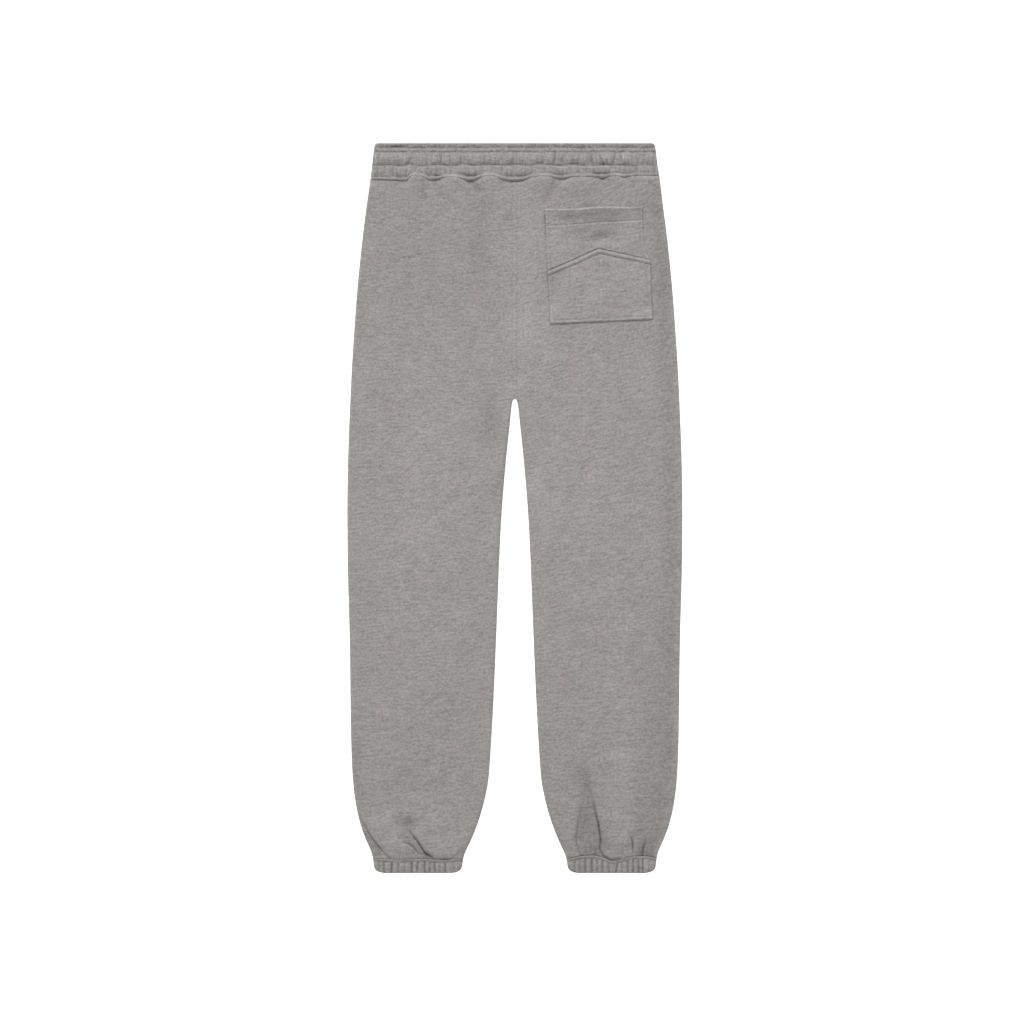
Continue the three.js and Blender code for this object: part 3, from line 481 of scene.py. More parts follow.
def inside_distance(x, down, nodes):
    """Distance from a polygon's border for places inside it, and 0 outside."""
    inside = np.zeros(np.shape(x), bool)
    for (x0, down0), (x1, down1) in zip(nodes, nodes[1:] + nodes[:1]):
        crosses = (down0 > down) != (down1 > down)
        rise = np.where(down1 == down0, 1.0, down1 - down0)
        inside ^= crosses & (x < x0 + (down - down0) * (x1 - x0) / rise)
    signed, _ = along_nodes(x, down, nodes + nodes[:1])
    return np.where(inside, np.abs(signed), 0)


def soft_places(x, down):
    """Each swell, patch and facet, with its share at each place."""
    for row in SWELLS:
        yield row, bell(along_nodes(x, down, row.nodes)[0], row.width)
    for row in PATCHES:
        across, along = (x - row.x) / row.wide, (down - row.down) / row.tall
        yield row, np.exp(-(across ** 2) - along ** 2)
    for row in FACETS:
        yield row, smoothstep(inside_distance(x, down, row.nodes), 0, row.edge)


def soft_folds(x, down):
    """Rise and painted shade of the swells, patches and facets."""
    rise, shade = flats(x)
    for row, near in soft_places(x, down):
        rise += row.rise * near
        shade += row.shade * near
    return rise, shade


def creases(x, down):
    """Rise and painted shade of the sharp creases, of which the deepest counts."""
    trough, steps, shade = flats(x, 3)
    for row in CREASES:
        signed, share = along_nodes(x, down, row.nodes)
        taper = np.sin(np.pi * np.clip(0.1 + 0.8 * share, 0, 1)) ** 0.8
        away = np.sqrt(signed ** 2 + 0.25) - 0.5
        trough = np.maximum(trough, row.depth * taper * np.exp(-away / row.width))
        shade = np.maximum(shade, 0.2 * row.depth * taper * bell(signed, CREASE_WIDTH))
        side = 0.5 + 0.5 * np.tanh(signed / 1.2) * np.sign(row.step)
        steps += abs(row.step) * np.exp(-np.abs(signed) / row.reach) * taper * side
    return steps - trough, shade


def ripples(x, down, seed, count, wavelength, rise):
    """A gently uneven surface: waves of like length in all directions."""
    random = np.random.default_rng(seed)
    total = 0 * x
    for _ in range(count):
        heading = random.uniform(0, 2 * np.pi)
        length = wavelength * random.uniform(0.7, 1.5)
        phase = random.uniform(0, 2 * np.pi)
        along = x * np.cos(heading) + down * np.sin(heading)
        total = total + np.sin(along * 2 * np.pi / length + phase)
    return total * rise / math.sqrt(count)


def leg_surface(x, down, seed):
    """How far the back of a leg rises over its loft, and its painted shade."""
    outer, inner = outer_edge(down), inner_edge(down)
    across = 2 * (np.abs(x) - inner) / (outer - inner) - 1
    crown = CROWN * (1 - across ** 2)
    # Below the waistband the cloth puffs up where it is eased in, and is drawn down elsewhere.
    below = down - WAIST_LINE["back"](x)
    puff = waist_puff(x)
    eased = puff * (0.76 + 0.24 * smoothstep(below, 0, 5)) * bell(below, 27)
    hollow = -0.5 * np.clip(1 - puff, 0, 1) * bell(below, 2.5)
    above = HEM_LINE["back"](x) - down
    pinch = -0.6 * np.exp(-np.maximum(above, 0) / 2.5)
    uneven = ripples(x, down, seed, 9, 95, 0.25) + ripples(x, down, seed + 1, 9, 34, 0.08)
    folds, fold_shade = soft_folds(x, down)
    sharp, sharp_shade = creases(x, down)
    total = np.maximum(folds + sharp + pinch + hollow, -DEEPEST_CREASE)
    # The felled seam along the middle of the seat, with its two rows of stitching.
    in_seat = 1 - smoothstep(down, CROTCH - 10, CROTCH + 2)
    middle = np.abs(x)
    sewn = bell(middle - SEAT_ROW, 0.8)
    felled = 0.3 * (1 - smoothstep(middle, 4, 5.5)) + 0.3 * bell(middle, 1.5) - 0.35 * sewn
    # The right-hand side lies lower along its fold, and painted shade darkens it there.
    from_side = outer - x
    at_side = (1 - smoothstep(from_side, 8, 42)) * smoothstep(down, 50, 110)
    painted_side_shade = 0.11 * at_side * (1.1 * smoothstep(from_side, 0, 13) - 0.1)
    # Painted shade in the folds and creases, along the right-hand side, above the hem's seam,
    # beside the pocket, on the seat's stitching and in the hollows under the waistband's seam, with
    # a painted highlight on the seat seam's middle. The leg is painted lighter from the seat down
    # and darker towards the hems.
    shade = fold_shade + sharp_shade + painted_side_shade - 0.04 * smoothstep(down, 210, 330)
    shade = shade + 0.036 * smoothstep(down, 640, 840)
    shade = shade + 0.13 * bell(above, 2) + pocket_shadow(x, down)
    shade = shade + (0.07 * sewn - 0.08 * bell(middle, 1.2)) * in_seat
    shade = shade + 0.3 * np.clip(1 - puff, 0, 1) * bell(below, 1.3)
    return crown + eased + total + uneven + felled * in_seat - 1.2 * at_side, shade


def seam_shift(layer, x, row):
    """How far a leg's row moves down to follow the seams at both its ends."""
    top = WAIST_LINE[layer](x) + JOIN - WAIST_SEAM_MEAN
    bottom = HEM_LINE[layer](x) - JOIN - HEM_SEAM_MEAN
    near_top = 1 - smoothstep(row, WAIST_SEAM_MEAN, WAIST_SEAM_MEAN + 45)
    near_bottom = smoothstep(row, HEM_SEAM_MEAN - 40, HEM_SEAM_MEAN)
    return top * near_top + bottom * near_bottom


def leg_points(leg, layer, inset, seed):
    """Places of a leg's cloth. The underside keeps level, so its own creases only rise."""
    def points(across, row):
        folded = smoothstep(row, CROTCH, CROTCH + FORK_BLEND)
        height = loft(row)
        x, z, flat = section(across, outer_edge(row), inner_edge(row), folded, height, inset)
        x = leg * x
        down = row + seam_shift(layer, x, row)
        if layer == "back":
            relief, shade = leg_surface(x, down, seed)
            return x, down, z + flat * relief, shade
        sunk = np.maximum(ripples(x, down, seed, 9, 60, 0.2), 0) if inset == 0 else 0
        return x, down, height - z + flat * sunk, 0 * x

    return points


def ruck_field(x, share, random, pitch):
    """Small uneven creases across the waistband, 1 in the deepest, and their lit lips."""
    field, lips = flats(x)
    place = -WAIST_HALF
    while place < WAIST_HALF:
        place += pitch * random.uniform(0.45, 1.55)
        slant = random.normal(0, 0.28) * pitch
        bow = random.normal(0, 0.15) * pitch
        centre, extent = random.uniform(0.35, 1), random.uniform(0.35, 0.8)
        depth = random.uniform(0.25, 1)
        off = x - place - slant * (share - 0.5) - bow * (4 * (share - 0.5) ** 2 - 0.5)
        away = np.abs(off)
        line = 0.6 * np.exp(-away / (0.6 + 0.05 * pitch)) + 0.4 * bell(away, 0.3 * pitch)
        reach = depth * bell(share - centre, extent)
        field = np.maximum(field, reach * line)
        lips = np.maximum(lips, reach * bell(off - 2.4, 1.2))
    return field, lips


def patchy(x, seed, length):
    """A share from 0 to 1 that comes and goes along a row."""
    return smoothstep(ripples(x, 0 * x, seed, 7, length, 1), -0.9, 0.9)


def tucks(x, row):
    """Depth and painted shade of the waistband's tucks."""
    depth, shade = flats(x)
    for tuck in TUCKS:
        lean = 0.12 * (row - tuck.row) * math.sin(tuck.x)
        along = np.exp(-np.abs((x - tuck.x - lean) / tuck.wide) ** 2.5)
        near = along * bell(row - tuck.row, tuck.tall)
        depth += tuck.depth * near
        shade += tuck.shade * near
    return depth, shade


def dome(share, peak):
    """A puff between two rows of stitching: it rises quickly, then bends down to the next row."""
    rising = 1 - (1 - np.minimum(share / peak, 1)) ** 1.7
    falling = 1 - (np.maximum(share - peak, 0) / (1 - peak)) ** 2
    return np.where(share < peak, rising, falling)


def lifted(x):
    """How far the puffs below the seam lift the waistband, from 0 to 1."""
    return np.clip(waist_puff(x) / FULL_PUFF, 0, 1)


def waist_surface(x, row, seed):
    """How far the waistband rises between its rows of stitching, and its painted shade."""
    total, shade = flats(x)
    random = np.random.default_rng(seed)
    lift = lifted(x)
    last = len(WAIST_ROWS) - 2
    for number, (upper, lower) in enumerate(zip(WAIST_ROWS[:-1], WAIST_ROWS[1:])):
        share = (row - upper.down) / (lower.down - upper.down)
        inside = (share >= 0) & (share <= 1)
        share = np.clip(share, 0, 1)
        puffed = dome(share, upper.peak)
        uneven = 1 + 0.45 * ripples(x, 0 * x, seed + number, 6, 1.6 * upper.pitch, 1)
        rucks, lips = ruck_field(x, share, random, upper.pitch)
        if upper.pitch > 10:
            fine, fine_lips = ruck_field(x, share, random, FINE_PITCH)
            rucks, lips = np.maximum(rucks, 0.6 * fine), np.maximum(lips, 0.8 * fine_lips)
        rise = upper.puff * uneven * puffed - upper.ruck * rucks * puffed ** 0.4
        if number == last:
            rise = rise * (1 - 0.75 * lift) + PUFF_CLIMB * lift * share
        # Painted shade in the creases, and painted highlight on their lips.
        dark = (0.36 * rucks - 0.22 * lips) * upper.ruck ** 0.5
        total, shade = np.where(inside, rise, total), np.where(inside, dark, shade)
    for number, line in enumerate(WAIST_ROWS[1:]):
        depth = line.groove * (0.25 + 1.5 * patchy(x, seed + 20 + number, 17))
        if number == last:
            depth = depth * (1 - 0.9 * lift)
        groove = depth * bell(row - line.down, 1.1)
        total = total - groove
        # Painted shade in the grooves of the stitching.
        shade = shade + 0.16 * groove
    return total, shade


def strip_surface(x, row, leg_height):
    """The stitched strip over the seam: a ridge that drops at hollows and meets the puffs level."""
    share = np.clip((row - WAIST_ROWS[-1].down) / (WAIST_END - WAIST_ROWS[-1].down), 0, 1)
    lift = lifted(x)
    bulge = np.sin(np.pi * share)
    ridge = 0.75 * (1 - lift) * bulge ** 0.8
    fall = 2.2 * (1 - lift) * smoothstep(share, 0.45, 1)
    start = PUFF_CLIMB * (share > 0)
    climb = lift * (start + (leg_height - WAIST_HEIGHT - start) * smoothstep(share, 0, 0.85))
    # Painted shade where the strip drops into the hollows, and a painted highlight on it over the
    # puffs.
    shade = 0.2 * (1 - lift) * smoothstep(share, 0.72, 1) - 0.33 * lift * bulge ** 0.45
    return ridge + climb - fall, shade


def leg_top(x, seeds_below):
    """Height of the leg's upper edge, under the waistband's seam."""
    down = WAIST_LINE["back"](x) + JOIN
    sides = [loft(WAIST_SEAM_MEAN) + leg_surface(x, down, seed)[0] for seed in seeds_below]
    return np.where(x < 0, *sides)


def rim_drop(distance):
    """How much thinner one face of a casing is near its rounded rim."""
    left = np.clip(1 - distance / RIM, 0, 1)
    return RIM_TURN * CASING * (1 - np.sqrt(1 - left ** 2))


def waist_points(layer, inner, seed, seeds_below):
    """Places of the waistband's cloth, whose lower rows follow the wavy seam."""
    def points(across, row):
        half = outer_edge(row)
        x, z, flat = section(across, half, -half, 1.0, WAIST_HEIGHT, CASING if inner else 0)
        upper, lower = (stitch_row.down for stitch_row in WAIST_ROWS[-2:])
        in_band = np.clip((row - upper) / (lower - upper), 0, 1)
        in_strip = np.clip((row - lower) / (WAIST_END - lower), 0, 1)
        seam = WAIST_LINE[layer](x) - JOIN
        strip = strip_height(x) if layer == "back" else FRONT_STRIP
        # The row of stitching above the lowest one wanders.
        wander = 0.75 * ripples(x, 0 * x, seed + 50, 5, 34, 1) * bell(row - upper, 9)
        down = np.minimum(row, upper) + in_band * (seam - strip - upper) + in_strip * strip
        down = down + wander * (1 - in_strip)
        rim = (1 if inner else -1) * rim_drop(row)
        if inner:
            relief, shade = 0 * x, 0 * x
        else:
            relief, shade = waist_surface(x, row, seed)
            tuck, tuck_shade = tucks(x, row)
            relief, shade = relief - tuck, shade + tuck_shade
        if layer == "back" and not inner:
            strip_rise, strip_shade = strip_surface(x, row, leg_top(x, seeds_below))
            relief, shade = relief + strip_rise, shade + strip_shade
        if layer == "back":
            return x, down, z + flat * (rim + relief), shade
        sunk = 0 if inner else FACING_PUFF * (relief - TOUCHING_PUFF)
        return x, down, np.maximum(WAIST_HEIGHT - (z + flat * rim) - flat * sunk, 0), shade

    return points


def hem_surface(x, row):
    """How far a hem rises between its gathers, and its painted shade."""
    rucks, lips = flats(x)
    share = (row - HEM_SEAM_MEAN) / (LENGTH - HEM_SEAM_MEAN)
    for ruck in HEM_RUCKS:
        off = x - ruck.x - ruck.slant * (share - 0.5)
        rucks = np.maximum(rucks, ruck.depth * np.exp(-((np.abs(off) / 1.2) ** 1.3)))
        lips = np.maximum(lips, ruck.depth * bell(off - 3, 1.3))
    gathered = smoothstep(row, HEM_SEAM_MEAN + 3.2, HEM_SEAM_MEAN + 5.5)
    bulge = np.sin(np.pi * np.clip((row - HEM_SEAM_MEAN) / 3.8, 0, 1))
    groove = 0.4 * bell(row - HEM_SEAM_MEAN - HEM_ROWS[1], 0.8)
    puff = 0.35 * dome(np.clip((share - 0.2) / 0.8, 0, 1), 0.4)
    # Painted shade in the gathers, in the groove and on the bulge by the seam, and painted
    # highlight on the gathers' lips. The whole hem is a little darker, and the right hem lighter
    # near its outer end.
    shade = gathered * (0.22 * rucks - 0.08 * lips) + 0.2 * groove + 0.06 + 0.14 * bulge
    shade = shade - 0.09 * gathered * smoothstep(x, 176, 186)
    return 0.2 * bulge - groove + gathered * (puff - rucks), shade


def hem_points(leg, layer, inner):
    """Places of a hem's cloth, whose upper rows follow its seam."""
    def points(across, row):
        inset = CASING if inner else 0
        x, z, flat = section(across, outer_edge(row), inner_edge(row), 1.0, HEM_HEIGHT, inset)
        x = leg * x
        upper = 1 - smoothstep(row, HEM_SEAM_MEAN + 4, HEM_SEAM_MEAN + 13)
        down = row + upper * (HEM_LINE[layer](x) + JOIN - HEM_SEAM_MEAN)
        rim = (1 if inner else -1) * rim_drop(LENGTH - row)
        relief, shade = (0 * x, 0 * x) if inner else hem_surface(x, row)
        if layer == "back":
            return x, down, z + flat * (rim + relief), shade
        sunk = FACING_PUFF * np.minimum(relief, 0)
        return x, down, HEM_HEIGHT - (z + flat * rim) - flat * sunk, shade

    return points


pocket_left = smooth_line(POCKET_SIDES, "left")
pocket_right = smooth_line(POCKET_SIDES, "right")


def pointed_seam(across):
    """How far along the pocket the seam between its panels lies."""
    at, along = np.array(POCKET_POINT).T
    return np.interp(across, at, along)


def pocket_place(across, along):
    """A place (x, down) on the pocket, whose mouth alone is uneven."""
    x = pocket_left(along) * (1 - across) + pocket_right(along) * across
    top = POCKET_TOP[0] * (1 - across) + POCKET_TOP[1] * across
    top = top + np.interp(across, *zip(*POCKET_MOUTH)) * np.maximum(1 - along / MOUTH_FADES, 0)
    bottom = POCKET_BOTTOM[0] * (1 - across) + POCKET_BOTTOM[1] * across
    return x, top * (1 - along) + bottom * along


def pocket_hem(across):
    """How far under the mouth its hem is sewn."""
    return 23.5 - 4.5 * across


def pocket_surface(across, along, seed):
    """Rise and painted shade of the pocket's hem, pointed welt, sewn edges and small puckers."""
    from_side = np.minimum(across, 1 - across) * POCKET_WIDTH
    edge = np.minimum(from_side, (1 - along) * POCKET_HEIGHT)
    mouth = along * POCKET_HEIGHT
    seam = (along - pointed_seam(across)) * POCKET_HEIGHT
    places = {"edge": edge, "mouth": mouth, "hem": mouth - pocket_hem(across), "seam": seam}
    rise = sum(row.rise * bell(places[row.place] - row.at, row.width) for row in POCKET_RIDGES)
    shade = sum(row.shade * bell(places[row.place] - row.at, row.width) for row in POCKET_LINES)
    # The turned edges drop to the leg, widest at the upper right. The mouth stands up a little.
    wider = 0.35 * smoothstep(across, 0.6, 0.9) * (1 - smoothstep(along, 0.4, 0.5))
    rise = rise - (1.5 + wider) * np.exp(-edge / (1.4 + 2 * wider)) - 0.6 * np.exp(-mouth / 0.7)
    in_mouth = np.sin(np.pi * np.clip(across * 1.1 - 0.05, 0, 1))
    rise = rise + in_mouth * (0.9 * bell(mouth - 4, 5) - 0.3 * bell(mouth - 16, 8))
    x, down = pocket_place(across, along)
    uneven = ripples(x, down, seed, 9, 40, 0.16)
    pucker = ripples(x, down * 0.4, seed + 3, 6, 18, 0.3) * bell(mouth - 12, 9)
    sewn = ripples(x, down, seed + 5, 6, 8, 0.14) * bell(edge - 4, 3)
    # The seam's painted shadow and the mouth's painted highlight fade towards the right. The
    # puckers get painted shade, and the panel below the seam is painted a little lighter.
    dark, light = 1 - 0.7 * smoothstep(across, 0.78, 0.95), 1 - 0.8 * smoothstep(across, 0.82, 0.92)
    shade = shade + 0.2 * bell(seam, 0.8) * dark - 0.19 * bell(mouth - 2, 2) * light
    shade = shade + 0.06 * np.abs(pucker) - 0.04 * smoothstep(seam, 0, 6)
    return np.maximum(rise + uneven + pucker + sewn, POCKET_HOLLOW), shade


def pocket_outside(across, along, thickness, seed):
    """Places of the pocket's face, as if it were one panel."""
    x, down = pocket_place(across, along)
    base, base_shade = leg_surface(x, down, seed)
    rise, shade = pocket_surface(across, along, seed)
    return x, down, loft(down) + base + POCKET_CLEARANCE + thickness + rise, base_shade + shade


def pocket_points(panel, inner, thickness, seed):
    """Places of one panel's cloth, above or below the pointed seam."""
    def points(across, along):
        seam = pointed_seam(across)
        half_gap = PANEL_GAP / POCKET_HEIGHT
        low, high = (0, seam - half_gap) if panel == "yoke" else (seam + half_gap, 1)
        share = low * (1 - along) + high * along
        if not inner:
            return pocket_outside(across, share, thickness, seed)
        x, down = pocket_place(across, share)
        base, _ = leg_surface(x, down, seed)
        return x, down, loft(down) + base + POCKET_CLEARANCE, 0 * x

    return points


POCKET_OUTLINE = [tuple(pocket_place(*np.array(corner, float))) for corner in POCKET_CORNERS]


def pocket_shadow(x, down):
    """Painted shadow: how much darker the leg looks beside the pocket's edges."""
    signed, share = along_nodes(x, down, POCKET_OUTLINE)
    darkest = np.interp(share, *zip(*POCKET_DARK))
    inside = inside_distance(x, down, POCKET_OUTLINE) > 0
    return np.where(inside, 0, darkest * bell(signed, 1.2))


def lattice(across, along, points):
    """One face of a cloth: rows of points in metres, and the painted shade at each of them."""
    u, v = np.meshgrid(across, along)
    x, down, z, shade = points(u, v)
    return np.stack([x, LENGTH / 2 - down, z], axis=-1) * MM, shade


def ribbon(a, b):
    """Triangles between two lines of (station, point number) whose stations run together."""
    triangles = []
    i = j = 0
    while i < len(a) - 1 or j < len(b) - 1:
        if j == len(b) - 1 or (i < len(a) - 1 and a[i + 1][0] <= b[j + 1][0]):
            triangles.append((a[i][1], a[i + 1][1], b[j][1]))
            i += 1
        else:
            triangles.append((a[i][1], b[j + 1][1], b[j][1]))
            j += 1
    return triangles


def borders(numbers, across, along):
    """The four borders of a lattice, as lines of (station, point number)."""
    lines = (
        (across, numbers[0]), (across, numbers[-1]), (along, numbers[:, 0]),
        (along, numbers[:, -1]))
    return [list(zip(places, line.tolist())) for places, line in lines]


def quads(numbers, flipped):
    """The faces of a lattice, from the numbers of its points."""
    a, b = numbers[:-1, :-1], numbers[:-1, 1:]
    c, d = numbers[1:, 1:], numbers[1:, :-1]
    order = (a, b, c, d) if flipped else (a, d, c, b)
    return np.stack(order, axis=-1).reshape(-1, 4).tolist()


def added(name, data):
    """A new object of the scene."""
    made = bpy.data.objects.new(name, data)
    bpy.context.scene.collection.objects.link(made)
    return made


def add_piece(name, vertices, faces, smooth_count, material, slot, shade=None):
    """A piece of the garment as a Blender object. Its first faces are the smooth ones."""
    mesh = bpy.data.meshes.new(name)
    mesh.from_pydata(vertices.tolist(), [], faces)
    mesh.polygons.foreach_set("use_smooth", np.arange(len(faces)) < smooth_count)
    # The shade attribute holds painted shade, and painted highlight below zero.
    if shade is not None:
        painted = mesh.attributes.new("shade", "FLOAT", "POINT")
        painted.data.foreach_set("value", shade)
    mesh.materials.append(material)
    mesh.update()
    piece = added(name, mesh)
    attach(piece, "root")
    return piece


def cloth_shell(name, outside, inside, material, slot):
    """A closed wall of cloth between an outer and an inner face, as a Blender object."""
    (across, along, points), (in_across, in_along, in_points) = outside, inside
    outer, outer_shade = lattice(across, along, points)
    inner, inner_shade = lattice(in_across, in_along, in_points)
    vertices = np.concatenate([outer.reshape(-1, 3), inner.reshape(-1, 3)])
    numbers = np.arange(outer_shade.size).reshape(outer_shade.shape)
    in_numbers = outer_shade.size + np.arange(inner_shade.size).reshape(inner_shade.shape)
    faces = quads(numbers, False) + quads(in_numbers, True)
    smooth_count = len(faces)
    rims = zip(borders(numbers, across, along), borders(in_numbers, in_across, in_along))
    for (rim, in_rim), flip in zip(rims, (False, True, True, False)):
        for a, b, c in ribbon(rim, in_rim):
            faces.append((a, c, b) if flip else (a, b, c))
    first, second, third = (vertices[[face[corner] for face in faces]] for corner in range(3))
    if np.sum(first * np.cross(second - first, third - first)) < 0:
        faces = [face[::-1] for face in faces]
    shade = np.concatenate([outer_shade.ravel(), inner_shade.ravel()])
    return add_piece(name, vertices, faces, smooth_count, material, slot, shade)


def ring_values(column):
    return np.array([getattr(ring, column) for ring in STITCH_RINGS])


def track(points, across, along):
    """A line of places (x, down, height) on a piece's face."""
    across, along = np.broadcast_arrays(np.asarray(across, float), np.asarray(along, float))
    return np.stack(points(across, along)[:3], axis=-1)


def stitched(line, length, gap):
    """Places of each stitch's rings along a line."""
    steps = np.linalg.norm(np.diff(line, axis=0), axis=1)
    done = np.concatenate([[0], np.cumsum(steps)])
    count = int((done[-1] + gap) // (length + gap))
    start = (done[-1] - count * (length + gap) + gap) / 2
    first = start + (length + gap) * np.arange(count)
    at = first[:, None] + length * ring_values("along")
    return np.stack([np.interp(at, done, line[:, axis]) for axis in range(3)], axis=-1)


def bartack(points, start, end, width, spacing=0.55):
    """Close stitches across a short line between two places (across, along)."""
    ends = track(points, *zip(start, end))
    run = ends[1] - ends[0]
    length = np.hypot(run[0], run[1])
    side = np.array([-run[1], run[0], 0]) / length
    count = int(length / spacing)
    middles = track(points, *(np.linspace(a, b, count) for a, b in zip(start, end)))
    reach = width * (ring_values("along") - 0.5)
    return middles[:, None, :] + reach[None, :, None] * side


def thread_piece(name, runs, thick, material, slot):
    """All the stitches of a piece as one object: small arched threads that dip into the cloth.

    A run is the places of its stitches and 1, or -1 where they are on the underside."""
    x, down, z = np.moveaxis(np.concatenate([run for run, _ in runs]), -1, 0)
    facing = np.concatenate([np.full(len(run), float(face)) for run, face in runs])
    # No thread on the underside reaches below the surface that the garment lies on.
    z = np.where(facing[:, None] < 0, np.maximum(z, 0.8 * thick), z)
    places = np.stack([x, LENGTH / 2 - down, z], axis=-1)
    run = places[:, -1] - places[:, 0]
    run /= np.linalg.norm(run, axis=1, keepdims=True)
    side = np.cross(run, facing[:, None] * np.array([0, 0, 1.0]))
    side /= np.linalg.norm(side, axis=1, keepdims=True)
    up = np.cross(side, run)
    angle = (2 * np.pi * np.arange(STITCH_SIDES) / STITCH_SIDES)[:, None]
    turned = side[:, None, :] * np.cos(angle) + up[:, None, :] * np.sin(angle)
    girth = thick / 2 * ring_values("girth")
    height = thick * ring_values("height")
    centres = places + height[None, :, None] * up[:, None, :]
    corners = centres[:, :, None, :] + girth[None, :, None, None] * turned[:, None, :, :]
    rings = len(STITCH_RINGS)
    numbers = np.arange(len(places) * rings * STITCH_SIDES).reshape(-1, rings, STITCH_SIDES)
    after = np.roll(numbers, -1, axis=2)
    walls = np.stack([numbers[:, :-1], numbers[:, 1:], after[:, 1:], after[:, :-1]], axis=-1)
    walls = walls.reshape(-1, 4).tolist()
    caps = numbers[:, 0].tolist() + numbers[:, -1, ::-1].tolist()
    return add_piece(name, corners.reshape(-1, 3) * MM, walls + caps, len(walls), material, slot)


def stations(*stretches):
    """Stations over stretches of (from, to, step), each end once."""
    parts = []
    for low, high, step in stretches:
        count = max(1, round((high - low) / step))
        parts.append(np.linspace(low, high, count + 1))
    return np.unique(np.round(np.concatenate(parts), 6))


def roll_stations(level, per_roll):
    """Stations across a section: the level middle and the roll at each side."""
    counts = (per_roll, level, per_roll)
    return np.unique(np.concatenate([
        np.linspace(place, place + 1, count + 1) for place, count in enumerate(counts)]))


def outline_area(start, end):
    """Flat area of one layer of a leg between two heights, in square metres."""
    down = np.linspace(start, end, 400)
    width = outer_edge(down) - inner_edge(down)
    return float(np.trapz(width, down)) * MM * MM


# Sockets of the Mix node, of which several have the same name.
MIX_SHARE, MIX_LOW, MIX_HIGH, MIX_COLOUR = 0, 6, 7, 2


class Signal:
    """A socket of a node tree. Arithmetic on it adds Math nodes."""

    def __init__(self, socket):
        self.socket = socket
        self.tree = socket.id_data

    @staticmethod
    def node(tree, kind, settings=None, inputs=None, output=0):
        """Any node: its settings are set first, then its sockets' values or links."""
        made = tree.nodes.new(kind)
        for name, value in (settings or {}).items():
            setattr(made, name, value)
        for name, value in (inputs or {}).items():
            if isinstance(value, Signal):
                tree.links.new(value.socket, made.inputs[name])
            else:
                made.inputs[name].default_value = value
        return Signal(made.outputs[output]) if made.outputs else made

    def math(self, operation, a, b=0.0):
        return Signal.node(self.tree, "ShaderNodeMath", {"operation": operation}, {0: a, 1: b})

    def __add__(self, other):
        return self.math("ADD", self, other)

    __radd__ = __add__

    def __sub__(self, other):
        return self.math("SUBTRACT", self, other)

    def __rsub__(self, other):
        return self.math("SUBTRACT", other, self)

    def __mul__(self, other):
        return self.math("MULTIPLY", self, other)

    __rmul__ = __mul__

    def at_least(self, low):
        return self.math("MAXIMUM", self, low)

    def clamp(self):
        return self.math("MINIMUM", self.at_least(0.0), 1.0)

    def size(self):
        return self.math("ABSOLUTE", self)

    def sine(self):
        return self.math("SINE", self)


def grain(place, size, detail=2.0, roughness=0.5):
    """Noise about 0 whose features are size (x, y, z) long, in mm."""
    tree = place.tree
    scale = [1 / (length * MM) for length in size]
    scaled = Signal.node(
        tree, "ShaderNodeVectorMath", {"operation": "MULTIPLY"}, {0: place, 1: scale})
    noise = Signal.node(tree, "ShaderNodeTexNoise", {}, {
        "Vector": scaled, "Scale": 1.0, "Detail": detail, "Roughness": roughness})
    return noise - 0.5


def between(share, low, high):
    """A colour mixed from two others."""
    return Signal.node(
        share.tree, "ShaderNodeMix", {"data_type": "RGBA"},
        {MIX_SHARE: share, MIX_LOW: (*low, 1), MIX_HIGH: (*high, 1)}, output=MIX_COLOUR)


def toned(colour, share):
    """A colour made darker, or lighter where share is above 1."""
    return [min(1, channel * share) for channel in colour]


def blank_material(name):
    """A new material, and the place on the object that its pattern starts from."""
    material = bpy.data.materials.new(name)
    material.use_nodes = True
    material.node_tree.nodes.clear()
    return material, Signal.node(material.node_tree, "ShaderNodeTexCoord", output="Object")


def surfaced(material, inputs):
    """The material with one shader that has these inputs."""
    shader = Signal.node(material.node_tree, "ShaderNodeBsdfPrincipled", {}, inputs)
    Signal.node(material.node_tree, "ShaderNodeOutputMaterial", {}, {"Surface": shader})
    return material


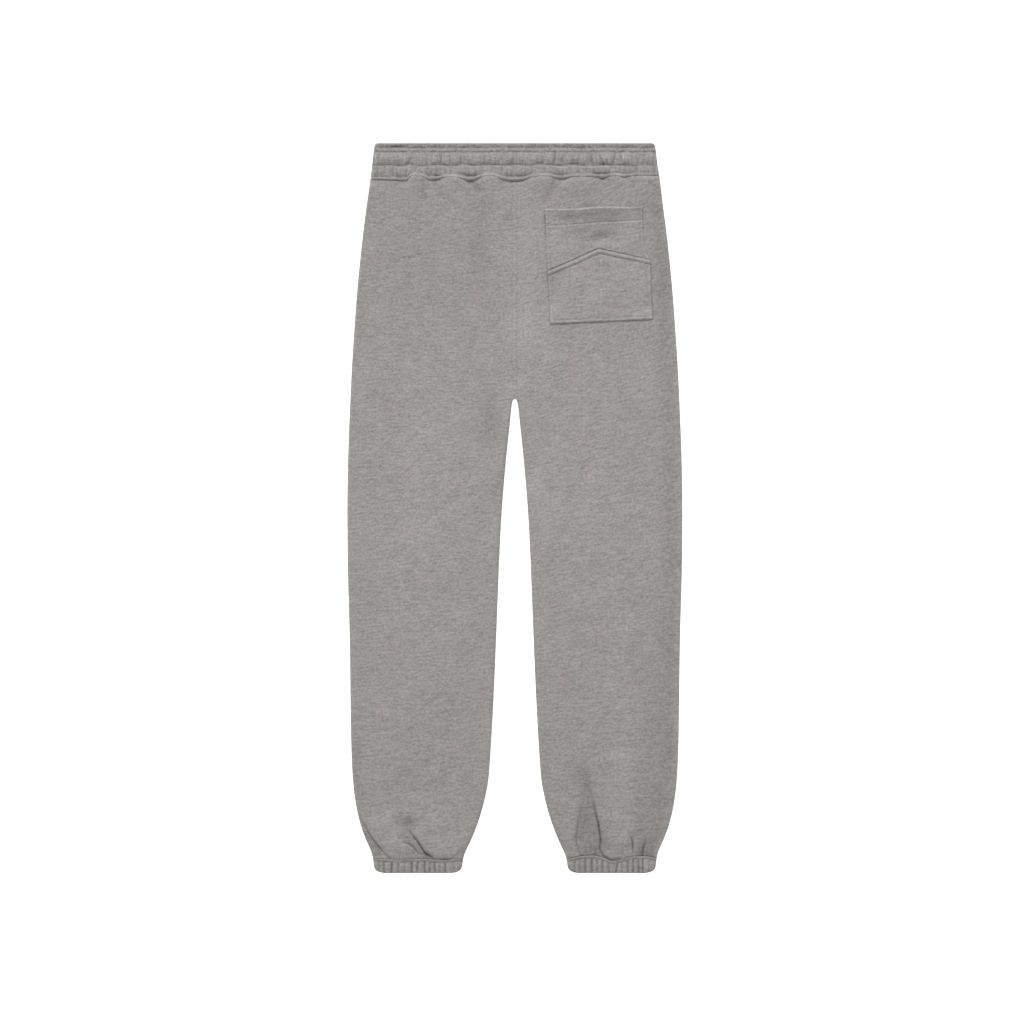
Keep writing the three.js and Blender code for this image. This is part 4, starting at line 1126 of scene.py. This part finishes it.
def fleece_material(fabric, finish):
    """Heather sweatshirt fleece: two yarns in short streaks, a fine knit, a soft nap and painted
    shade.
    """
    material, place = blank_material(fabric.name)
    tree = material.node_tree
    axes = Signal.node(tree, "ShaderNodeSeparateXYZ", {}, {0: place})
    x, y, z = (Signal(axes.socket.node.outputs[axis]) for axis in "XYZ")
    askew = fabric.askew
    if askew:
        # The rows of the knit climb to the right, most at the right thigh.
        y = y - askew * (x * (0.128 + 0.11 * y) + x.size() * (0.057 + 0.19 * y))
        place = Signal.node(tree, "ShaderNodeCombineXYZ", {}, {0: x, 1: y, 2: z})
    streaks = grain(place, (13.0, 2.6, 6.0))
    flecks = grain(place, (3.4, 2.9, 2.4))
    fibres = grain(place, (1.3, 0.45, 1.0), roughness=0.6)
    clouds = grain(place, (34.0, 22.0, 30.0), 3.0, 0.6)
    uneven = streaks * 0.85 + flecks * 1.15 + fibres * 0.36 + clouds * 0.28
    heather = between(
        (0.5 + finish.contrast * uneven).clamp(),
        toned(finish.dark_yarn, fabric.shade), toned(finish.light_yarn, fabric.shade))
    # Places that look a little greener, and others a little redder.
    tint = between(
        (0.5 + grain(place, (17.0, 11.0, 14.0), 3.0, 0.6) * 3.0).clamp(),
        (0.978, 1.011, 0.998), (1.022, 0.989, 0.994))
    heather = Signal.node(
        tree, "ShaderNodeVectorMath", {"operation": "MULTIPLY"}, {0: heather, 1: tint})
    # The mesh's shade attribute is painted shade, and painted highlight below zero: it scales the
    # heather's colour.
    shade = Signal.node(tree, "ShaderNodeAttribute", {"attribute_name": "shade"}, output="Fac")
    painted_shade_colour = Signal.node(
        tree, "ShaderNodeVectorMath", {"operation": "SCALE"},
        {0: heather, "Scale": (1.0 - shade).at_least(0.2)})
    wale = (x * (2 * math.pi / (WALE * MM))).sine()
    course = (y * (2 * math.pi / (COURSE * MM)) + wale * 1.2).sine()
    height = fibres * 0.8 + flecks * 0.7 + course * 0.06 + wale * 0.06
    normal = Signal.node(
        tree, "ShaderNodeBump", {}, {"Height": height, "Strength": 0.4, "Distance": 0.4 * MM})
    return surfaced(material, {
        "Base Color": painted_shade_colour, "Roughness": 0.93, "Sheen Weight": 0.12, "Sheen Roughness": 0.5,
        "Specular IOR Level": 0.2, "Normal": normal})


def fleece(context, fabric):
    """The fleece of a piece, made once."""
    made = bpy.data.materials.get(fabric.name)
    return made or fleece_material(fabric, context.scene.joggers_finish)


def thread_material(finish):
    """Twisted thread, lighter and darker by turns."""
    material, place = blank_material("thread")
    twist = (0.5 + grain(place, (0.5, 0.5, 0.5)) * 2.0).clamp()
    colour = between(twist, toned(finish.thread, 0.8), toned(finish.thread, 1.2))
    return surfaced(material, {"Base Color": colour, "Roughness": 0.7, "Sheen Weight": 0.1})


def leg_seed(cut, leg):
    """What the uneven places of a leg are drawn from. The pocket on it takes the same."""
    return cut.seed + (leg + 1) * 5


def leg_seeds(cut):
    return [leg_seed(cut, LEFT), leg_seed(cut, RIGHT)]


def waist_seed(cut, layer):
    return cut.seed + 40 + len(layer)


class JOGGERS_OT_legs(bpy.types.Operator):
    """Cuts the four leg panels and lays the backs on the fronts"""

    bl_idname = "joggers.legs"
    bl_label = "Legs"

    def execute(self, context):
        cut = context.scene.joggers_cut
        fine, medium = cut.mesh, 2 * cut.mesh
        fork = stations((CROTCH - 8, CROTCH + 16, 1))
        creased = np.union1d(fork, stations(
            (WAIST_SEAM_MEAN, 80, fine), (80, 280, medium), (280, 860, 5), (860, 930, medium),
            (930, HEM_SEAM_MEAN, fine)))
        plain = np.union1d(fork, stations(
            (WAIST_SEAM_MEAN, 110, 5), (110, 860, 25), (860, HEM_SEAM_MEAN, 5)))
        meshes = {"back": (6, creased), "front": (2, plain)}
        for side, leg in LEGS.items():
            for layer, (dense, rows) in meshes.items():
                node = f"leg_{side}_{layer}"
                seed = leg_seed(cut, leg)
                piece = cloth_shell(
                    f"cloth_{node}",
                    (roll_stations(LEG_COLUMNS * dense, ROLL_STEPS), rows,
                     leg_points(leg, layer, 0, seed)),
                    (roll_stations(LEG_COLUMNS * 2, INNER_ROLL_STEPS), plain,
                     leg_points(leg, layer, cut.cloth, seed)),
                    fleece(context, LEG_FLEECE), "fleece")
                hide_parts(node)
                outline_area(WAIST_SEAM_MEAN, HEM_SEAM_MEAN)
        return {"FINISHED"}


class JOGGERS_OT_waistband(bpy.types.Operator):
    """Folds the waistband over its elastic and puckers it between its rows of stitching"""

    bl_idname = "joggers.waistband"
    bl_label = "Waistband"

    def execute(self, context):
        cut = context.scene.joggers_cut
        for layer, dense, step in (("back", 9, 0.7), ("front", 4, 1.6)):
            seeds = waist_seed(cut, layer), leg_seeds(cut)
            piece = cloth_shell(
                f"cloth_waistband_{layer}",
                (roll_stations(WAIST_COLUMNS * dense, ROLL_STEPS),
                 stations((0, RIM, RIM_STEP), (RIM, WAIST_END, step)),
                 waist_points(layer, False, *seeds)),
                (roll_stations(WAIST_COLUMNS * 2, INNER_ROLL_STEPS),
                 stations((0, RIM, RIM_STEP), (RIM, WAIST_END, 8)),
                 waist_points(layer, True, *seeds)),
                fleece(context, CASING_FLEECE), "casing")
            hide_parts(f"waistband_{layer}")
        return {"FINISHED"}


class JOGGERS_OT_hems(bpy.types.Operator):
    """Gathers the two hems over their elastics"""

    bl_idname = "joggers.hems"
    bl_label = "Hems"

    def execute(self, context):
        def rows(step):
            return stations((HEM_SEAM_MEAN, LENGTH - RIM, step), (LENGTH - RIM, LENGTH, RIM_STEP))

        for side, leg in LEGS.items():
            for layer, dense, step in (("back", 9, 0.6), ("front", 4, 1.5)):
                node = f"hem_{side}_{layer}"
                piece = cloth_shell(
                    f"cloth_{node}",
                    (roll_stations(LEG_COLUMNS * dense, ROLL_STEPS), rows(step),
                     hem_points(leg, layer, False)),
                    (roll_stations(LEG_COLUMNS * 2, INNER_ROLL_STEPS), rows(4),
                     hem_points(leg, layer, True)),
                    fleece(context, CASING_FLEECE), "casing")
                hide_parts(node)
        return {"FINISHED"}


class JOGGERS_OT_pocket(bpy.types.Operator):
    """Sews the patch pocket's two panels on the seat"""

    bl_idname = "joggers.pocket"
    bl_label = "Pocket"

    def execute(self, context):
        cut = context.scene.joggers_cut
        thickness, seed = cut.pocket_cloth, leg_seed(cut, RIGHT)
        tip = [POCKET_POINT[1].across]
        across = np.union1d(stations((0, 1, 1.1 / POCKET_WIDTH)), tip)
        for panel, rows, flat, area in (
                ("yoke", 75, (0.142, 0.086), 0.0100), ("body", 90, (0.145, 0.103), 0.0125)):
            piece = cloth_shell(
                f"cloth_pocket_{panel}",
                (across, stations((0, 1, 1 / rows)), pocket_points(panel, False, thickness, seed)),
                (np.union1d(stations((0, 1, 1 / 24)), tip), stations((0, 1, 1 / 16)),
                 pocket_points(panel, True, thickness, seed)),
                fleece(context, POCKET_FLEECE), "fleece")
            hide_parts(f"pocket_{panel}")
        return {"FINISHED"}


class JOGGERS_OT_stitching(bpy.types.Operator):
    """Runs the rows of topstitching along the waistband, seat, pocket and hems"""

    bl_idname = "joggers.stitching"
    bl_label = "Stitching"

    def execute(self, context):
        cut = context.scene.joggers_cut
        thread = thread_material(context.scene.joggers_finish)

        def sew(name, lines, slot, tacks=()):
            runs = [(stitched(line, cut.stitch, cut.stitch_gap), face) for line, face in lines]
            runs += [(tack, 1) for tack in tacks]
            thread_piece(f"stitching_{name}", runs, cut.thread, thread, slot)

        sew("waistband", self.waistband(cut), "casing")
        sew("hems", self.hems(), "casing")
        sew("seat", self.seat(cut), "fleece")
        sew("pocket", *self.pocket(cut))
        return {"FINISHED"}

    def waistband(self, cut):
        across = np.linspace(*SEWN_ACROSS, 900)
        rows = [row.down for row in WAIST_ROWS[1:-1]]
        strip = WAIST_ROWS[-1].down
        rows += [strip + share * (WAIST_END - strip) for share in (0.25, 0.75)]
        return [
            (track(waist_points(layer, False, waist_seed(cut, layer), leg_seeds(cut)), across, row),
             face)
            for layer, face in FACES.items() for row in rows]

    def hems(self):
        across = np.linspace(*SEWN_ACROSS, 300)
        return [
            (track(hem_points(leg, layer, False), across, HEM_SEAM_MEAN + below), face)
            for leg in (LEFT, RIGHT) for layer, face in FACES.items() for below in HEM_ROWS]

    def seat(self, cut):
        beside = 3 - SEAT_ROW / ROLL
        rows = np.linspace(WAIST_SEAM_MEAN + 1.5, CROTCH - 6, 400)
        return [
            (track(leg_points(leg, "back", 0, leg_seed(cut, leg)), beside, rows), 1)
            for leg in (LEFT, RIGHT)]

    def pocket(self, cut):
        def points(across, along):
            return pocket_outside(across, along, cut.pocket_cloth, leg_seed(cut, RIGHT))

        share = np.linspace(0, 1, 300)
        places = []
        # Two rows round the sides and the lower edge, the mouth's hem, and the welt.
        for inset in POCKET_ROWS:
            aside, low = inset / POCKET_WIDTH, 1 - inset / POCKET_HEIGHT
            down_side = 0.02 + share * (low - 0.02)
            places += [
                (aside, down_side), (1 - aside, down_side),
                (aside + share * (1 - 2 * aside), low)]
        hem = 0.04 + 0.92 * share
        places.append((hem, pocket_hem(hem) / POCKET_HEIGHT))
        seam = 0.01 + 0.98 * share
        places += [(seam, pointed_seam(seam) + below / POCKET_HEIGHT) for below in (0.9, WELT)]
        tacks = [
            bartack(points, (0.008, 0.02), (0.008, 0.09), 2),
            bartack(points, (0.95, 0.01), (0.992, 0.1), 2.2)]
        return [(track(points, *place), 1) for place in places], "fleece", tacks


class JOGGERS_OT_stage(bpy.types.Operator):
    """Sets the floor, the soft lights and the camera above the garment"""

    bl_idname = "joggers.stage"
    bl_label = "Stage"

    def execute(self, context):
        finish = context.scene.joggers_finish
        self.floor(finish)
        self.key_light(finish)
        world = bpy.data.worlds.new("sky")
        world.use_nodes = True
        background = world.node_tree.nodes["Background"].inputs
        background["Color"].default_value = (1, 1, 1, 1)
        background["Strength"].default_value = finish.sky_power
        context.scene.world = world
        context.scene.view_settings.view_transform = "Standard"
        context.scene.camera = self.camera()
        return {"FINISHED"}

    def floor(self, finish):
        mesh = bpy.data.meshes.new("floor")
        far = FLOOR_HALF
        corners = [(-far, -far, 0), (far, -far, 0), (far, far, 0), (-far, far, 0)]
        mesh.from_pydata(corners, [], [(0, 1, 2, 3)])
        material, place = blank_material("floor")
        paint = between(
            (0.5 + grain(place, (200, 200, 200))).clamp(), finish.floor, toned(finish.floor, 0.99))
        mesh.materials.append(surfaced(material, {
            "Base Color": paint, "Roughness": 0.9, "Emission Color": (1, 1, 1, 1),
            "Emission Strength": FLOOR_GLOW}))
        added("floor", mesh)

    def key_light(self, finish):
        """A round soft light beyond the waistband that faces the middle of the garment."""
        lamp = bpy.data.lights.new("key", "AREA")
        lamp.shape = "DISK"
        lamp.size = KEY_SIZE
        lamp.energy = finish.key_power
        light = added("key", lamp)
        light.location = x, y, z = KEY_PLACE
        tilt, turn = math.atan2(math.hypot(x, y), z), math.atan2(-y, -x) - math.pi / 2
        light.rotation_euler = (tilt, 0, turn)

    def camera(self):
        view = bpy.data.cameras.new("camera")
        view.lens = 100
        view.sensor_width = 36
        view.clip_end = 20
        camera = added("camera", view)
        distance = PHOTO_PIXELS * PIXEL * view.lens / view.sensor_width
        camera.location = (
            (PHOTO_PIXELS / 2 - PHOTO_MIDDLE[0]) * PIXEL,
            (PHOTO_MIDDLE[1] - PHOTO_PIXELS / 2) * PIXEL, distance + CAD_BOX[1][2] / 2)
        return camera


class JOGGERS_PT_panel(bpy.types.Panel):
    """Lists the pieces and their sizes"""

    bl_label = "Joggers"
    bl_idname = "JOGGERS_PT_panel"
    bl_space_type = "VIEW_3D"
    bl_region_type = "UI"
    bl_category = "Joggers"

    def draw(self, context):
        for settings in (context.scene.joggers_cut, context.scene.joggers_finish):
            for name in settings.__annotations__:
                self.layout.prop(settings, name)
        for operator in PIECES:
            self.layout.operator(operator.bl_idname)


PIECES = (
    JOGGERS_OT_stage, JOGGERS_OT_legs, JOGGERS_OT_waistband, JOGGERS_OT_hems, JOGGERS_OT_pocket,
    JOGGERS_OT_stitching,
)
CLASSES = (JoggersCut, JoggersFinish, *PIECES, JOGGERS_PT_panel)


def register():
    for cls in CLASSES:
        bpy.utils.register_class(cls)
    bpy.types.Scene.joggers_cut = PointerProperty(type=JoggersCut)
    bpy.types.Scene.joggers_finish = PointerProperty(type=JoggersFinish)


def unregister():
    del bpy.types.Scene.joggers_finish
    del bpy.types.Scene.joggers_cut
    for cls in reversed(CLASSES):
        bpy.utils.unregister_class(cls)


def main():
    register()
    bpy.ops.joggers.stage()
    bpy.ops.joggers.legs()
    bpy.ops.joggers.waistband()
    bpy.ops.joggers.hems()
    bpy.ops.joggers.pocket()
    bpy.ops.joggers.stitching()


if __name__ == "__main__":
    main()
